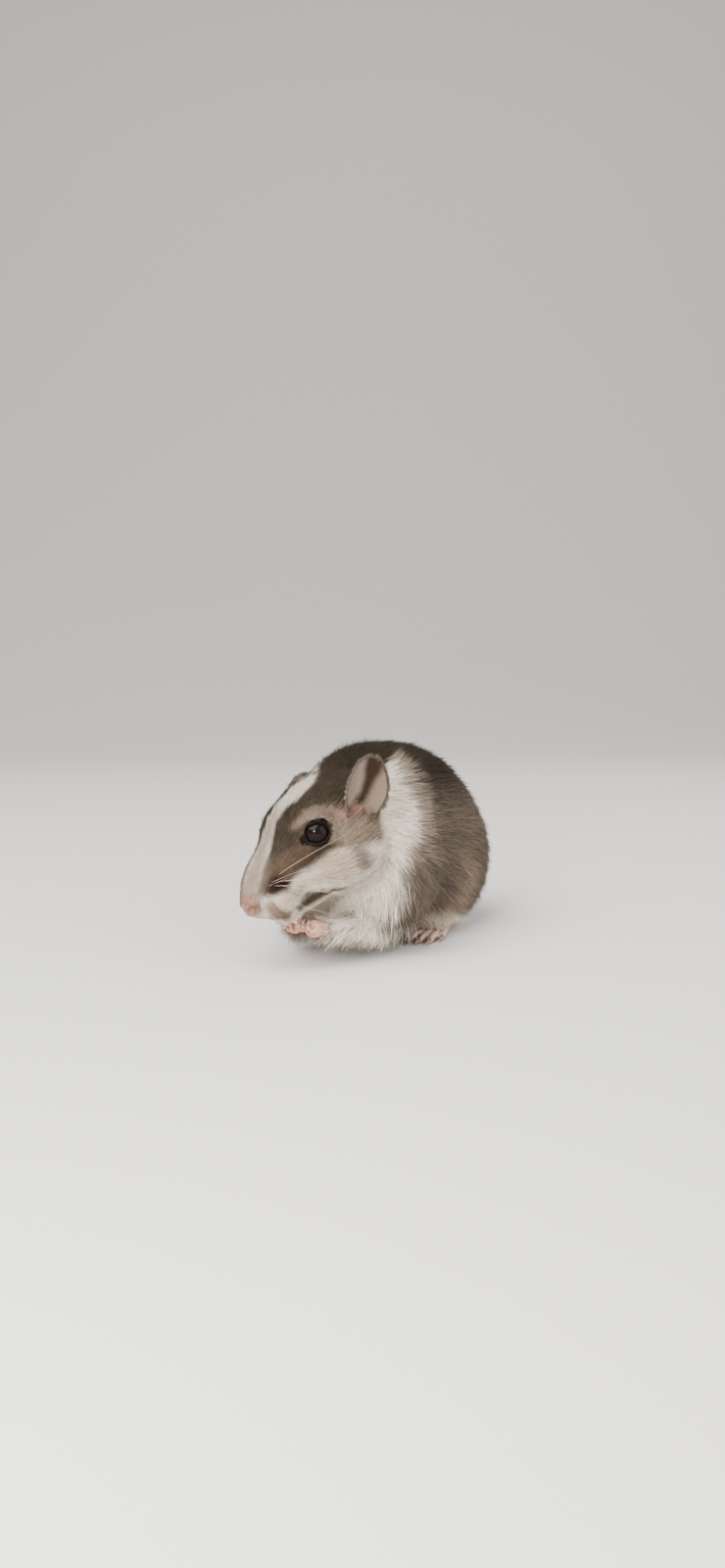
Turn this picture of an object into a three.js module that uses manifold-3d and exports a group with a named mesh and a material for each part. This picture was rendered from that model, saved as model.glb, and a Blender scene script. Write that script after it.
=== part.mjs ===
// A pied gerbil, life size, sitting hunched, both hands held up under its chin and its head turned right.
// Millimetres, +Z up. The animal faces -Y, its left side is +X, and it rests on the plane z = 0.
import * as THREE from "three";
import { mergeVertices } from "three/addons/utils/BufferGeometryUtils.js";
import Module from "manifold-3d";

const wasm = await Module();
wasm.setup();

// Driving dimensions.
const BACK_HEIGHT = 46; // floor to the top of the hunched back
const TRUNK_HALF_WIDTH = 20.5; // widest half of the barrel, without the thighs
const HAUNCH_HALF_WIDTH = 22; // middle of the back to the outside of a thigh
const BELLY_CLEARANCE = 2.2; // floor to the fur of the belly
const EYE_RADIUS = 3.3;
const EYE_SPACING = 7.4; // middle of the head to the centre of each eyeball
const EAR_HEIGHT = 16;
const EAR_HALF_WIDTH = 5;
const EAR_THICKNESS = 0.9;
const TAIL_LENGTH = 104;
const TAIL_RADIUS = 3; // at the root, with its fur
const GAP = 0.3; // between neighbouring pieces

// How the head is held: turned to the animal's right, nose down, left side up.
const HEAD_AT = [-8, -33.5, 27.8]; // midway between the eyes
const HEAD_TURN = 37;
const HEAD_PITCH = 26;
const HEAD_ROLL = 9;

// Materials.
function coloured(red, green, blue, roughness = 0.85) {
  return new THREE.MeshStandardMaterial({
    color: new THREE.Color(red, green, blue),
    roughness,
    metalness: 0,
  });
}
const GREY_FUR = coloured(0.27, 0.24, 0.21);
const PALE_FUR = coloured(0.72, 0.68, 0.63);
const BARE_SKIN = coloured(0.66, 0.42, 0.37, 0.55);
const EYE_BLACK = coloured(0.02, 0.013, 0.012, 0.08);

// Small tools.
const vec = (x = 0, y = 0, z = 0) => new THREE.Vector3(x, y, z);
const radians = THREE.MathUtils.degToRad;
const clamp = THREE.MathUtils.clamp;
const lerp = THREE.MathUtils.lerp;

// The rotation of something that faces -Y: turned to its right, nose down and left side up, in degrees.
function heading(turn, pitch = 0, roll = 0) {
  const euler = new THREE.Euler(radians(pitch), -radians(roll), -radians(turn), "ZXY");
  return new THREE.Matrix4().makeRotationFromEuler(euler);
}

// Geometry to solid, and back.
function solid(geometry) {
  const bare = geometry.clone();
  for (const name of Object.keys(bare.attributes)) {
    if (name !== "position") bare.deleteAttribute(name);
  }
  const merged = mergeVertices(bare, 1e-4);
  const corners = merged.index.array;
  const kept = [];
  for (let i = 0; i < corners.length; i += 3) {
    const [a, b, c] = [corners[i], corners[i + 1], corners[i + 2]];
    if (a !== b && b !== c && c !== a) kept.push(a, b, c);
  }
  const points = merged.attributes.position;
  const corner = (i) => vec().fromBufferAttribute(points, kept[i]);
  let volume = 0;
  for (let i = 0; i < kept.length; i += 3) volume += corner(i).dot(corner(i + 1).cross(corner(i + 2)));
  if (volume < 0) kept.reverse(); // a mirrored shape is turned right side out
  const mesh = new wasm.Mesh({
    numProp: 3,
    vertProperties: new Float32Array(points.array),
    triVerts: new Uint32Array(kept),
  });
  return new wasm.Manifold(mesh);
}

function geometryOf(body) {
  const mesh = body.getMesh();
  const count = mesh.numProp;
  const points = new Float32Array(mesh.numVert * 3);
  for (let i = 0; i < mesh.numVert; i++) {
    points.set(mesh.vertProperties.subarray(i * count, i * count + 3), i * 3);
  }
  const geometry = new THREE.BufferGeometry();
  geometry.setAttribute("position", new THREE.BufferAttribute(points, 3));
  geometry.setIndex(new THREE.BufferAttribute(mesh.triVerts, 1));
  geometry.computeVertexNormals();
  return geometry;
}

// The largest closed surface of a solid.
function largest(body) {
  return body.decompose().sort((a, b) => b.volume() - a.volume())[0];
}

const joined = (...bodies) => bodies.reduce((sum, body) => sum.add(body));
const without = (body, ...cutters) => cutters.reduce((rest, cutter) => rest.subtract(cutter), body);

// Moves every vertex of a ball to where place() puts it. The ball's poles lie along Y.
function moulded(sides, rings, place) {
  const ball = new THREE.SphereGeometry(1, sides, rings);
  const position = ball.attributes.position;
  for (let i = 0; i < position.count; i++) {
    const moved = place(vec().fromBufferAttribute(position, i));
    position.setXYZ(i, moved.x, moved.y, moved.z);
  }
  return solid(ball);
}

// Soft forms: each is a function that gives a point's rough distance to its surface, less than 0 inside.
function egg(centre, half, turned = new THREE.Matrix4()) {
  const back = turned.clone().invert();
  const middle = vec(...centre);
  return (point) => {
    const q = point.clone().sub(middle).applyMatrix4(back);
    const near = Math.hypot(q.x / half[0], q.y / half[1], q.z / half[2]);
    const slope = Math.hypot(q.x / half[0] ** 2, q.y / half[1] ** 2, q.z / half[2] ** 2);
    return slope > 1e-6 ? (near * (near - 1)) / slope : -Math.min(...half);
  };
}

// A tapering rod with round ends, from one point and radius to another.
function bone(from, fromRadius, to, toRadius) {
  const start = vec(...from);
  const along = vec(...to).sub(start);
  return (point) => {
    const t = clamp(point.clone().sub(start).dot(along) / along.lengthSq(), 0, 1);
    const middle = start.clone().addScaledVector(along, t);
    return point.distanceTo(middle) - lerp(fromRadius, toRadius, t);
  };
}

// Several forms melted into one, over a width in millimetres.
function melted(width, ...forms) {
  const melt = (a, b) => {
    const near = Math.max(width - Math.abs(a - b), 0) / width;
    return Math.min(a, b) - (near * near * width) / 4;
  };
  return (point) => forms.map((form) => form(point)).reduce(melt);
}

// A form with softly rounded hollows pressed into it.
function hollowed(width, form, ...hollows) {
  const inverse = (shape) => (point) => -shape(point);
  return inverse(melted(width, inverse(form), ...hollows));
}

// A form seen from another frame.
const placed = (form, frame) => {
  const back = frame.clone().invert();
  return (point) => form(point.clone().applyMatrix4(back));
};

// How far along a ray the outside of a form lies.
function reachOf(form, start, ray, grow = 0, reach = 45) {
  let far = reach;
  for (let step = 0; step < 60 && far > 0.2; step++) {
    const distance = form(start.clone().addScaledVector(ray, far)) - grow;
    if (distance < 1e-3) break;
    far -= distance * 0.85;
  }
  return Math.max(far, 0.2);
}

// A closed skin stretched over a form. Rays leave a spine, fanning out at its ends, and meet the form.
function skin(form, spine, sides, rings, grow = 0) {
  const curve = new THREE.CatmullRomCurve3(spine.map((point) => vec(...point)));
  return moulded(sides, rings, (p) => {
    const t = Math.acos(clamp(p.y, -1, 1)) / Math.PI;
    const round = Math.atan2(p.z, p.x);
    const start = curve.getPoint(t);
    const ahead = curve.getTangent(t);
    const side = vec().crossVectors(vec(0, 0, 1), ahead).normalize();
    const above = vec().crossVectors(ahead, side).normalize();
    const ray = ahead.multiplyScalar(-Math.cos(Math.PI * t));
    ray.addScaledVector(side, Math.sin(Math.PI * t) * Math.cos(round));
    ray.addScaledVector(above, Math.sin(Math.PI * t) * Math.sin(round));
    return start.addScaledVector(ray, reachOf(form, start, ray, grow));
  });
}

// A rounded, tapering rod along a smooth curve. Its radii are spread evenly, and flat squeezes it upwards.
function rod(points, radii, sides = 8, rings = 8, { grow = 0, flat = 1, up = vec(0, 0, 1) } = {}) {
  const curve = new THREE.CatmullRomCurve3(points.map((point) => vec(...point)));
  return moulded(sides, rings, (p) => {
    const turn = Math.acos(clamp(p.y, -1, 1));
    const t = (1 - Math.cos(turn)) / 2;
    const at = t * (radii.length - 1);
    const low = Math.min(Math.floor(at), radii.length - 2);
    const thick = lerp(radii[low], radii[low + 1], at - low);
    const ahead = curve.getTangent(t);
    const side = vec().crossVectors(ahead, up).normalize();
    const above = vec().crossVectors(side, ahead).normalize();
    const swell = Math.min(1, Math.sin(turn) * 1.5) * (thick + grow);
    const point = curve.getPoint(t).addScaledVector(ahead, -Math.cos(turn) * (grow + thick * 0.4));
    point.addScaledVector(side, -p.x / Math.hypot(p.x, p.z, 1e-9) * swell);
    return point.addScaledVector(above, (p.z / Math.hypot(p.x, p.z, 1e-9)) * swell * flat);
  });
}

// A tube along part of a curve, with flat ends. radiusAt gives its radius from the curve's start, 0, to 1.
function tube(curve, from, to, radiusAt, sides, rings) {
  const shaft = new THREE.CylinderGeometry(1, 1, 1, sides, rings);
  const position = shaft.attributes.position;
  for (let i = 0; i < position.count; i++) {
    const t = lerp(from, to, position.getY(i) + 0.5);
    const ahead = curve.getTangentAt(t);
    const side = vec().crossVectors(ahead, vec(0, 0, 1)).normalize();
    const above = vec().crossVectors(side, ahead).normalize();
    const point = curve.getPointAt(t).addScaledVector(side, position.getX(i) * radiusAt(t));
    point.addScaledVector(above, position.getZ(i) * radiusAt(t));
    position.setXYZ(i, point.x, point.y, point.z);
  }
  return solid(shaft);
}

// Seeded random numbers from 0 to 1.
function draws(seed) {
  let state = seed;
  return () => {
    state = (state * 1664525 + 1013904223) % 4294967296;
    return state / 4294967296;
  };
}

const BOTH_SIDES = [["left", 1], ["right", -1]];
const BELOW_FLOOR = solid(new THREE.BoxGeometry(500, 500, 20).translate(0, 0, -10));

// Things of the head are placed in its own frame: it faces -Y, its left is +X.
const HEAD_FRAME = heading(HEAD_TURN, HEAD_PITCH, HEAD_ROLL).setPosition(...HEAD_AT);
const onHead = (x, y, z) => vec(x, y, z).applyMatrix4(HEAD_FRAME);

// Head.
const EYE_CENTRE = [EYE_SPACING, 1.2, -0.3];
function headForm() {
  const pair = (x, y, z, half) => BOTH_SIDES.map(([, side]) => egg([side * x, y, z], half));
  const whole = melted(
    3.2,
    egg([0, 7, -1.6], [11.3, 14.5, 10.8]), // braincase
    bone([0, -1, -2.6], 8.4, [0, -12, -6.4], 4.1), // bridge of the nose
    egg([0, -8.5, -4.4], [4.6, 6.5, 5.2]),
    bone([0, 4, -9], 7, [0, -10, -12.6], 2.7), // lower jaw
    ...pair(6, 6, -7.6, [6.2, 8.6, 7.6]), // cheeks
    ...pair(3.1, -10.6, -8.4, [3.4, 4.6, 3.3]), // whisker pads
    egg([0, -15, -7.4], [2.3, 1.9, 1.8]), // nose
  );
  return hollowed(2.4, whole, ...pair(EYE_SPACING + 5.4, 1, -0.2, [3, 5.2, 4.4])); // round the eyes
}
const LOCAL_HEAD = headForm();
const HEAD = placed(LOCAL_HEAD, HEAD_FRAME);
const HEAD_SPINE = [onHead(0, -11.5, -7.6), onHead(0, -2, -5), onHead(0, 10, -2)].map((p) => p.toArray());
const headSkin = () => skin(HEAD, HEAD_SPINE, 30, 32);
const headSpace = () => skin(HEAD, HEAD_SPINE, 22, 20, GAP + 0.12);

// A point on the head's outside, seen from inside the head towards a given point, sunk by a depth.
function onFace(inside, towards, sunk) {
  const start = vec(...inside);
  const ray = vec(...towards).sub(start).normalize();
  const out = start.clone().addScaledVector(ray, reachOf(LOCAL_HEAD, start, ray, 0, 25) - sunk);
  return out.applyMatrix4(HEAD_FRAME).toArray();
}

// Eyes, in sockets that clear them.
function eyeball(side, grow = 0) {
  const centre = vec(side * EYE_CENTRE[0], EYE_CENTRE[1], EYE_CENTRE[2]);
  return moulded(16, 12, (p) => p.multiplyScalar(EYE_RADIUS + grow).add(centre).applyMatrix4(HEAD_FRAME));
}

// Lids: a ring that follows an almond opening round the ball, longest at the front corner.
const LID = { thickness: 0.6, wide: 2.75, high: 2.5, low: 2.45, corner: 1.4, shallowest: 2.1 };
function lids(side) {
  const look = vec(side * 0.93, -0.34, 0.14).normalize();
  const ahead = vec(side * -0.6, -1, 0.35).projectOnPlane(look).normalize();
  const above = vec().crossVectors(look, ahead).multiplyScalar(-side).normalize();
  const centre = vec(side * EYE_CENTRE[0], EYE_CENTRE[1], EYE_CENTRE[2]);
  const ring = new THREE.TorusGeometry(1, 0.25, 6, 20);
  const position = ring.attributes.position;
  for (let i = 0; i < position.count; i++) {
    const [x, y, z] = [position.getX(i), position.getY(i), position.getZ(i)];
    const turn = Math.atan2(y, x);
    const outward = (Math.hypot(x, y) - 1) * 4 * LID.thickness;
    const along = Math.cos(turn) * LID.wide + LID.corner * Math.max(0, Math.cos(turn)) ** 6;
    const rise = Math.sin(turn) * (turn > 0 ? LID.high : LID.low);
    const flat = ahead.clone().multiplyScalar(along).addScaledVector(above, rise);
    const radius = EYE_RADIUS + 0.4;
    const depth = Math.sqrt(Math.max(LID.shallowest ** 2, radius ** 2 - flat.lengthSq()));
    const radial = flat.clone().addScaledVector(look, depth).normalize();
    const point = flat.clone().addScaledVector(look, depth).add(centre);
    point.addScaledVector(flat.normalize(), outward).addScaledVector(radial, z * 4 * LID.thickness);
    point.applyMatrix4(HEAD_FRAME);
    position.setXYZ(i, point.x, point.y, point.z);
  }
  return solid(ring);
}

// Grooves in the face: the line of the mouth, the cleft of the upper lip, and the nostrils.
function mouthLine(side) {
  const towards = [[0, -17, -14.2], [2.4, -15.5, -14.6], [5.2, -12, -14.2], [8, -7, -13], [9.5, -4.5, -12]];
  const points = towards.map(([x, y, z]) => onFace([0, -6, -9.2], [side * x, y, z], 0.1));
  return rod(points, [0.45, 0.5, 0.5, 0.42, 0.25], 5, 9);
}
function cleft() {
  const ends = [onFace([0, -10, -8], [0, -16, -8.9], 0.1), onFace([0, -9, -9.2], [0, -17, -14.2], 0.1)];
  return rod(ends, [0.3, 0.4], 6, 5);
}
function nostril(side) {
  const middle = [0, -12, -7.4];
  const ends = [onFace(middle, [side * 0.9, -17, -7.5], 0.15), onFace(middle, [side * 2.6, -17, -6.9], 0)];
  return rod(ends, [0.45, 0.3], 6, 5);
}

// Ears: an oval shell, cupped, on the back of the head. Its frame has Y to the opening and Z to the tip.
// The right ear is laid back against the neck, which bends on that side.
const EAR_BASE = [8.6, 9, -3.8];
const EAR_TIP = { 1: vec(0.36, 0.48, 0.8), [-1]: vec(-0.46, 0.6, 0.66) };
const EAR_CURL = { front: 4.6, back: 2.6, top: 1.4 }; // how far each edge comes forward of the ear's middle
const EAR_ROOM = 0.9; // what the trunk keeps clear of an ear
function earFrame(side) {
  const tip = EAR_TIP[side].clone().normalize();
  const open = vec(side * 0.86, -0.42, -0.2).projectOnPlane(tip).normalize();
  const frame = new THREE.Matrix4().makeBasis(vec().crossVectors(open, tip), open, tip);
  frame.setPosition(side * EAR_BASE[0], EAR_BASE[1], EAR_BASE[2]);
  return HEAD_FRAME.clone().multiply(frame);
}
function ear(side, grow = 0) {
  const frame = earFrame(side);
  return moulded(20, 10, (p) => {
    const round = Math.atan2(p.x, p.z);
    const spread = 1 - Math.abs(Math.acos(clamp(p.y, -1, 1)) / (Math.PI / 2) - 1);
    const up = Math.cos(round);
    const narrow = 1 - 0.42 * Math.max(0, -up) ** 1.5;
    const x = (EAR_HALF_WIDTH + grow) * narrow * Math.sin(round) * spread;
    const z = EAR_HEIGHT / 2 + (EAR_HEIGHT / 2 + grow) * up * spread;
    const thick = (EAR_THICKNESS / 2 + grow) * Math.sqrt(Math.max(0, 1 - spread ** 4)) * Math.sign(p.y);
    const edge = side * Math.sin(round) > 0 ? EAR_CURL.front : EAR_CURL.back;
    const cup = edge * (x / EAR_HALF_WIDTH / narrow) ** 2;
    const top = EAR_CURL.top * Math.max(0, (z / EAR_HEIGHT - 0.55) / 0.45) ** 2;
    return vec(x, cup + top + thick, z).applyMatrix4(frame);
  });
}

// Trunk: barrel, rump, chest, shoulders, thighs and neck in one soft form that is then parted.
const HIP = [HAUNCH_HALF_WIDTH - 9.4, 11, 16];
const SHOULDER = [10.4, -15.5, 18];
const thighForm = (side) => egg([side * HIP[0], HIP[1], HIP[2]], [9.8, 16, 15], heading(side * 6, 8));
const shoulderForm = (side) =>
  egg([side * SHOULDER[0] - 1, SHOULDER[1], SHOULDER[2]], [6.6, 8.6, 12], heading(0, -12));
function trunkForm() {
  const middle = (BACK_HEIGHT + BELLY_CLEARANCE) / 2;
  const tall = (BACK_HEIGHT - BELLY_CLEARANCE) / 2;
  const neck = onHead(0, 13, -4.5);
  return melted(
    7,
    egg([-0.5, 6, middle], [TRUNK_HALF_WIDTH, 24, tall], heading(0, 2)),
    egg([0.5, 17.5, 21.5], [17.5, 17, 20.5], heading(0, -20)),
    egg([-3, -6.5, 26.5], [17, 14, 17.8], heading(4, 0)),
    egg([-0.5, -14.5, 19.5], [14.5, 13, 15.6]),
    bone([-2, -12, 26], 13.5, [neck.x, neck.y, neck.z], 9.6),
    ...BOTH_SIDES.map(([, side]) => thighForm(side)),
    ...BOTH_SIDES.map(([, side]) => shoulderForm(side)),
  );
}
const TRUNK = trunkForm();
const TRUNK_SPINE = [[-4, -20, 23], [-1.5, -8, 23], [0, 8, 22], [0, 20, 19]];
const trunkSkin = () => skin(TRUNK, TRUNK_SPINE, 32, 28);
const trunkSpace = () => skin(TRUNK, TRUNK_SPINE, 24, 20, GAP + 0.12);

// What a thigh, an upper arm or the neck takes out of the trunk: ovals that cross its surface steeply.
function oval(centre, half, grow, turned = new THREE.Matrix4(), sides = 20, rings = 12) {
  return moulded(sides, rings, (p) => {
    const [x, y, z] = [p.x * (half[0] + grow), p.y * (half[1] + grow), p.z * (half[2] + grow)];
    return vec(x, y, z).applyMatrix4(turned).add(vec(...centre));
  });
}
const thighRegion = (side, grow = 0) =>
  oval([side * (HIP[0] + 6.5), HIP[1] + 0.5, HIP[2] - 2.8], [14, 17, 17], grow, heading(side * 6, 8));
function armRegion(side, grow = 0) {
  const [x, y, z] = SHOULDER;
  return oval([side * (x + 3) - 1, y - 1, z - 4], [8.6, 8, 12.5], grow, heading(0, -12));
}
const NECK_REACH = 17.5;
const neckRegion = (grow = 0) =>
  oval(onHead(0, 9, -3).toArray(), [NECK_REACH, NECK_REACH, NECK_REACH], grow);

// Hind feet: a long flat sole with five toes and their claws.
const HEEL = [13.2, 24, 1.5];
const TOE_ROOT = [11.8, 4.5, 1.3];
const TOES = [
  { spread: -2.7, length: 6.2, radius: 0.85 },
  { spread: -1.4, length: 9.6, radius: 0.95 },
  { spread: 0, length: 10.4, radius: 1 },
  { spread: 1.4, length: 9.4, radius: 0.95 },
  { spread: 2.8, length: 5.4, radius: 0.85 },
];
const CLAW_LENGTH = 1.9;
function hindFoot(side, grow = 0) {
  const heel = vec(side * HEEL[0], HEEL[1], HEEL[2]);
  const root = vec(side * TOE_ROOT[0], TOE_ROOT[1], TOE_ROOT[2]);
  const ahead = root.clone().sub(heel).setZ(0).normalize();
  const across = vec().crossVectors(ahead, vec(0, 0, 1)).multiplyScalar(-side);
  const at = (along, out, z) =>
    root.clone().addScaledVector(ahead, along).addScaledVector(across, out).setZ(z).toArray();
  const sole = [heel.toArray(), at(-12, 0, 1.5), at(-5, 0, 1.5), at(1.5, 0, 1.3)];
  const pieces = [rod(sole, [2.5, 2.3, 2.6, 3.4, 3.1], 10, 10, { grow, flat: 0.72 })];
  for (const { spread, length, radius } of TOES) {
    const out = spread * (1 + length / 22); // the toes fan out
    const toe = [at(-1, spread * 0.9, 1.1), at(length * 0.45, out, 1.5), at(length, out * 1.1, 0.75)];
    pieces.push(rod(toe, [radius, radius * 0.95, radius * 0.85], 6, 5, { grow }));
    const nail = [at(length, out * 1.1, 1), at(length + CLAW_LENGTH, out * 1.14, 0.4)];
    pieces.push(rod(nail, [0.45, 0.32, 0.15], 4, 3, { grow }));
  }
  return joined(...pieces);
}

// Hands: small fists held up under the chin, with four fingers curled upwards and inwards, and their claws.
const HAND_AT = { left: vec(-3, -34.6, 8.7), right: vec(-8.6, -31.8, 8.6) };
const ELBOW_AT = { left: vec(7.5, -17, 7.4), right: vec(-12.5, -18, 7.4) };
const FINGERS = 4;
const FINGER_SPACING = 1.2;
function handAxes(name, side) {
  const ahead = HAND_AT[name].clone().sub(ELBOW_AT[name]).normalize();
  const across = vec().crossVectors(ahead, vec(0, 0, 1)).multiplyScalar(-side).normalize();
  const above = vec(0, 0, 1).projectOnPlane(ahead).normalize();
  const at = (along, out, up) => HAND_AT[name].clone().addScaledVector(ahead, along)
    .addScaledVector(across, out).addScaledVector(above, up).toArray();
  return at;
}
function hand(name, side, grow = 0) {
  const at = handAxes(name, side);
  const palm = [at(-3.4, 0, -0.2), at(-0.5, 0, 0), at(1.2, 0, 0.2)];
  const pieces = [rod(palm, [1.7, 2.1, 2.5, 2.1], 8, 7, { grow, flat: 0.8 })];
  for (let finger = 0; finger < FINGERS; finger++) {
    const out = (finger - (FINGERS - 1) / 2) * FINGER_SPACING;
    const long = finger === 0 || finger === FINGERS - 1 ? 0.75 : 1.1;
    const bent = [at(0.8, out, 0.3), at(2.6 + long, out * 1.05, 0.1), at(2.6 + long, out * 0.9, 1.6)];
    pieces.push(rod(bent, [0.7, 0.64, 0.56], 5, 5, { grow }));
    const nail = [at(2.5 + long, out * 0.9, 1.5), at(2.1 + long, out * 0.85, 2.6)];
    pieces.push(rod(nail, [0.36, 0.26, 0.14], 4, 3, { grow }));
  }
  return joined(...pieces);
}
function forearm(name, side, grow = 0) {
  const at = handAxes(name, side);
  const elbow = ELBOW_AT[name];
  const wrist = vec(...at(-3.2, 0, -0.2));
  const middle = elbow.clone().lerp(wrist, 0.5);
  return rod([elbow.toArray(), middle.toArray(), wrist.toArray()], [3.8, 3.4, 2.7, 2.1], 10, 8, { grow });
}

// Tail: laid on the floor behind the animal in a slow curve, in three lengths, with a brush at its end.
const TAIL_ROOT = [[0, 26, 13], [-1, 36, 5]];
const TAIL_LAID = [[-6, 52, 2.5], [-15, 74, 2.15], [-21, 95, 1.9], [-20.5, 113, 1.7], [-17.5, 128, 1.55]];
const TAIL_CURVE = new THREE.CatmullRomCurve3([...TAIL_ROOT, ...TAIL_LAID].map((point) => vec(...point)));
const TAIL_END_RADIUS = 1.65;
const TAIL_FLARE = 4; // how much wider the tail is where the rump runs into it
function tailRadius(t) {
  const taper = lerp(TAIL_RADIUS, TAIL_END_RADIUS, Math.min(1, t * 1.25) ** 0.7);
  return taper + TAIL_FLARE * Math.exp(-t * 20);
}
const TAIL_PARTS = ["tail_base", "tail_middle", "tail_tip"];
const TUFT = { locks: 14, from: 0.7, to: 0.98, length: 11, width: 1.4, splay: 0.2 };
function tuft() {
  const random = draws(11);
  const pieces = [];
  for (let i = 0; i < TUFT.locks; i++) {
    const t = lerp(TUFT.from, TUFT.to, (i + random() * 0.6) / TUFT.locks);
    const turn = i * 2.4 + random() * 0.5;
    const ahead = TAIL_CURVE.getTangentAt(t);
    const side = vec().crossVectors(ahead, vec(0, 0, 1)).normalize();
    const above = vec().crossVectors(side, ahead).normalize();
    const out = side.clone().multiplyScalar(Math.cos(turn)).addScaledVector(above, Math.sin(turn));
    const radius = tailRadius(t);
    const root = TAIL_CURVE.getPointAt(t).addScaledVector(out, radius * 0.45);
    const length = TUFT.length * (0.8 + 0.4 * random());
    const at = (along, lift) => {
      const point = root.clone().addScaledVector(ahead, length * along).addScaledVector(out, length * lift);
      return point.setZ(Math.max(point.z, 0.3)).toArray();
    };
    const lock = [at(0, 0), at(0.45, TUFT.splay * 0.55), at(0.8, TUFT.splay * 0.9), at(1, TUFT.splay)];
    pieces.push(rod(lock, [0.8, TUFT.width, 0.9, 0.3], 4, 3, { flat: 0.6, up: out }));
  }
  return pieces;
}
function tailLength(index, grow = 0) {
  const gap = (GAP + 2 * grow) / TAIL_LENGTH;
  const from = index / 3 + (index ? gap / 2 : 0);
  if (index === 2) {
    const shaft = tube(TAIL_CURVE, from, 0.97, tailRadius, 8, 8);
    const end = [TAIL_CURVE.getPointAt(0.95).toArray(), TAIL_CURVE.getPointAt(1).toArray()];
    return joined(shaft, rod(end, [TAIL_END_RADIUS, 0.9], 6, 4), ...tuft());
  }
  return tube(TAIL_CURVE, from, (index + 1) / 3 - gap / 2, tailRadius, 10, 10);
}

const parts = [];
const add = (name, body, material) =>
  parts.push({ name, body: largest(body.subtract(BELOW_FLOOR)), material });

const head = headSkin();
const headRoom = headSpace();
const trunk = trunkSkin();
const trunkRoom = trunkSpace();
const neckRoom = neckRegion(GAP);
const earRoom = BOTH_SIDES.map(([, side]) => ear(side, EAR_ROOM));
const limbRoom = [];
for (const [name, side] of BOTH_SIDES) {
  const footRoom = hindFoot(side, GAP);
  const handRoom = hand(name, side, GAP);
  const forearmRoom = forearm(name, side, GAP);
  limbRoom.push(footRoom, forearmRoom, handRoom);
  add(`eye_${name}`, eyeball(side), EYE_BLACK);
  add(`ear_${name}`, without(ear(side), headRoom), BARE_SKIN);
  add(`hind_foot_${name}`, hindFoot(side), BARE_SKIN);
  const others = side < 0 ? [headRoom, hand("left", 1, GAP)] : [headRoom];
  add(`hand_${name}`, without(hand(name, side), ...others), BARE_SKIN);
  add(`forearm_${name}`, without(forearm(name, side), handRoom, headRoom), PALE_FUR);
  add(`thigh_${name}`, without(trunk.intersect(thighRegion(side)), footRoom), GREY_FUR);
  const upperArm = trunk.intersect(armRegion(side));
  add(`upper_arm_${name}`, without(upperArm, forearmRoom, handRoom, neckRoom), GREY_FUR);
}
const sockets = [eyeball(1, GAP), eyeball(-1, GAP)];
const grooves = BOTH_SIDES.flatMap(([, side]) => [mouthLine(side), nostril(side)]);
add("head", without(joined(head, lids(1), lids(-1)), ...sockets, ...grooves, cleft()), GREY_FUR);
const limbRegions = BOTH_SIDES.flatMap(([, side]) => [thighRegion(side, GAP), armRegion(side, GAP)]);
add("neck", without(trunk.intersect(neckRegion()), headRoom, ...earRoom, ...limbRoom), PALE_FUR);
add("torso", without(trunk, headRoom, neckRoom, ...earRoom, ...limbRegions, ...limbRoom), GREY_FUR);
TAIL_PARTS.forEach((name, index) => {
  const body = tailLength(index);
  add(name, index ? body : body.subtract(trunkRoom), GREY_FUR);
});

const animal = new THREE.Group();
for (const { name, body, material } of parts) {
  const mesh = new THREE.Mesh(geometryOf(body), material);
  mesh.name = name;
  animal.add(mesh);
}

// The origin is the middle of the floor under the whole animal.
const box = new THREE.Box3().setFromObject(animal);
animal.position.set(-(box.min.x + box.max.x) / 2, -(box.min.y + box.max.y) / 2, -box.min.z);
const gerbil = new THREE.Group();
gerbil.add(animal);
export default gerbil;
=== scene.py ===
# %% [markdown]
# # A pied gerbil, life size
# The gerbil sits hunched on its hind feet with both hands held up under its chin. The solids of the
# part already give its outline with the fur on. This lesson takes them as a fixed frame, melts them
# into one skin that lies a coat's depth deeper, and grows a coat of solid tufts on it.

# %% Load the solids and keep their box
import math

import bpy
import numpy as np
from mathutils import Matrix, Vector
from mathutils.bvhtree import BVHTree


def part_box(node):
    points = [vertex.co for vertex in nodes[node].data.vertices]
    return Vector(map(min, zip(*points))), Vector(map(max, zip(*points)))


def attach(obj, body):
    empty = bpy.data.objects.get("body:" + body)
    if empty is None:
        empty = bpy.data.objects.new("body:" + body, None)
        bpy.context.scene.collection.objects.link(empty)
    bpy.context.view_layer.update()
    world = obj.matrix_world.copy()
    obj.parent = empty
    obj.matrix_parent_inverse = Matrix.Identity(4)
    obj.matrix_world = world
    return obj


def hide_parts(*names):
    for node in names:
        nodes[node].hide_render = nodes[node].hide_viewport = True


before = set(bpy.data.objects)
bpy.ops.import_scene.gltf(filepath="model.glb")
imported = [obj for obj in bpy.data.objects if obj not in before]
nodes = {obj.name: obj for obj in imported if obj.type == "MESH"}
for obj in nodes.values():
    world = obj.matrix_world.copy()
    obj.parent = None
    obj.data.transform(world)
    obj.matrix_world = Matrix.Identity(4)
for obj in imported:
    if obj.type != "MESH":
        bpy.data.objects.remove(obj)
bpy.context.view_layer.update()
MM = 0.001

# %% [markdown]
# ## Where things are
# A head that is turned, tipped and rolled is easier to work on in its own directions: x to its left,
# y backwards, z up. The eyeballs' boxes say where it is. The body keeps the directions of the part,
# so one shift in millimetres takes a place on the animal to the frame and back.

# %% Directions and places of the head and the body
HEAD_TURN, HEAD_PITCH, HEAD_ROLL = 37, 26, 9
HEAD_AT = Vector((-8, -33.5, 27.8))
EYE_AT = Vector((7.4, 1.2, -0.3))
EYE_RADIUS = 3.3


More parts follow.
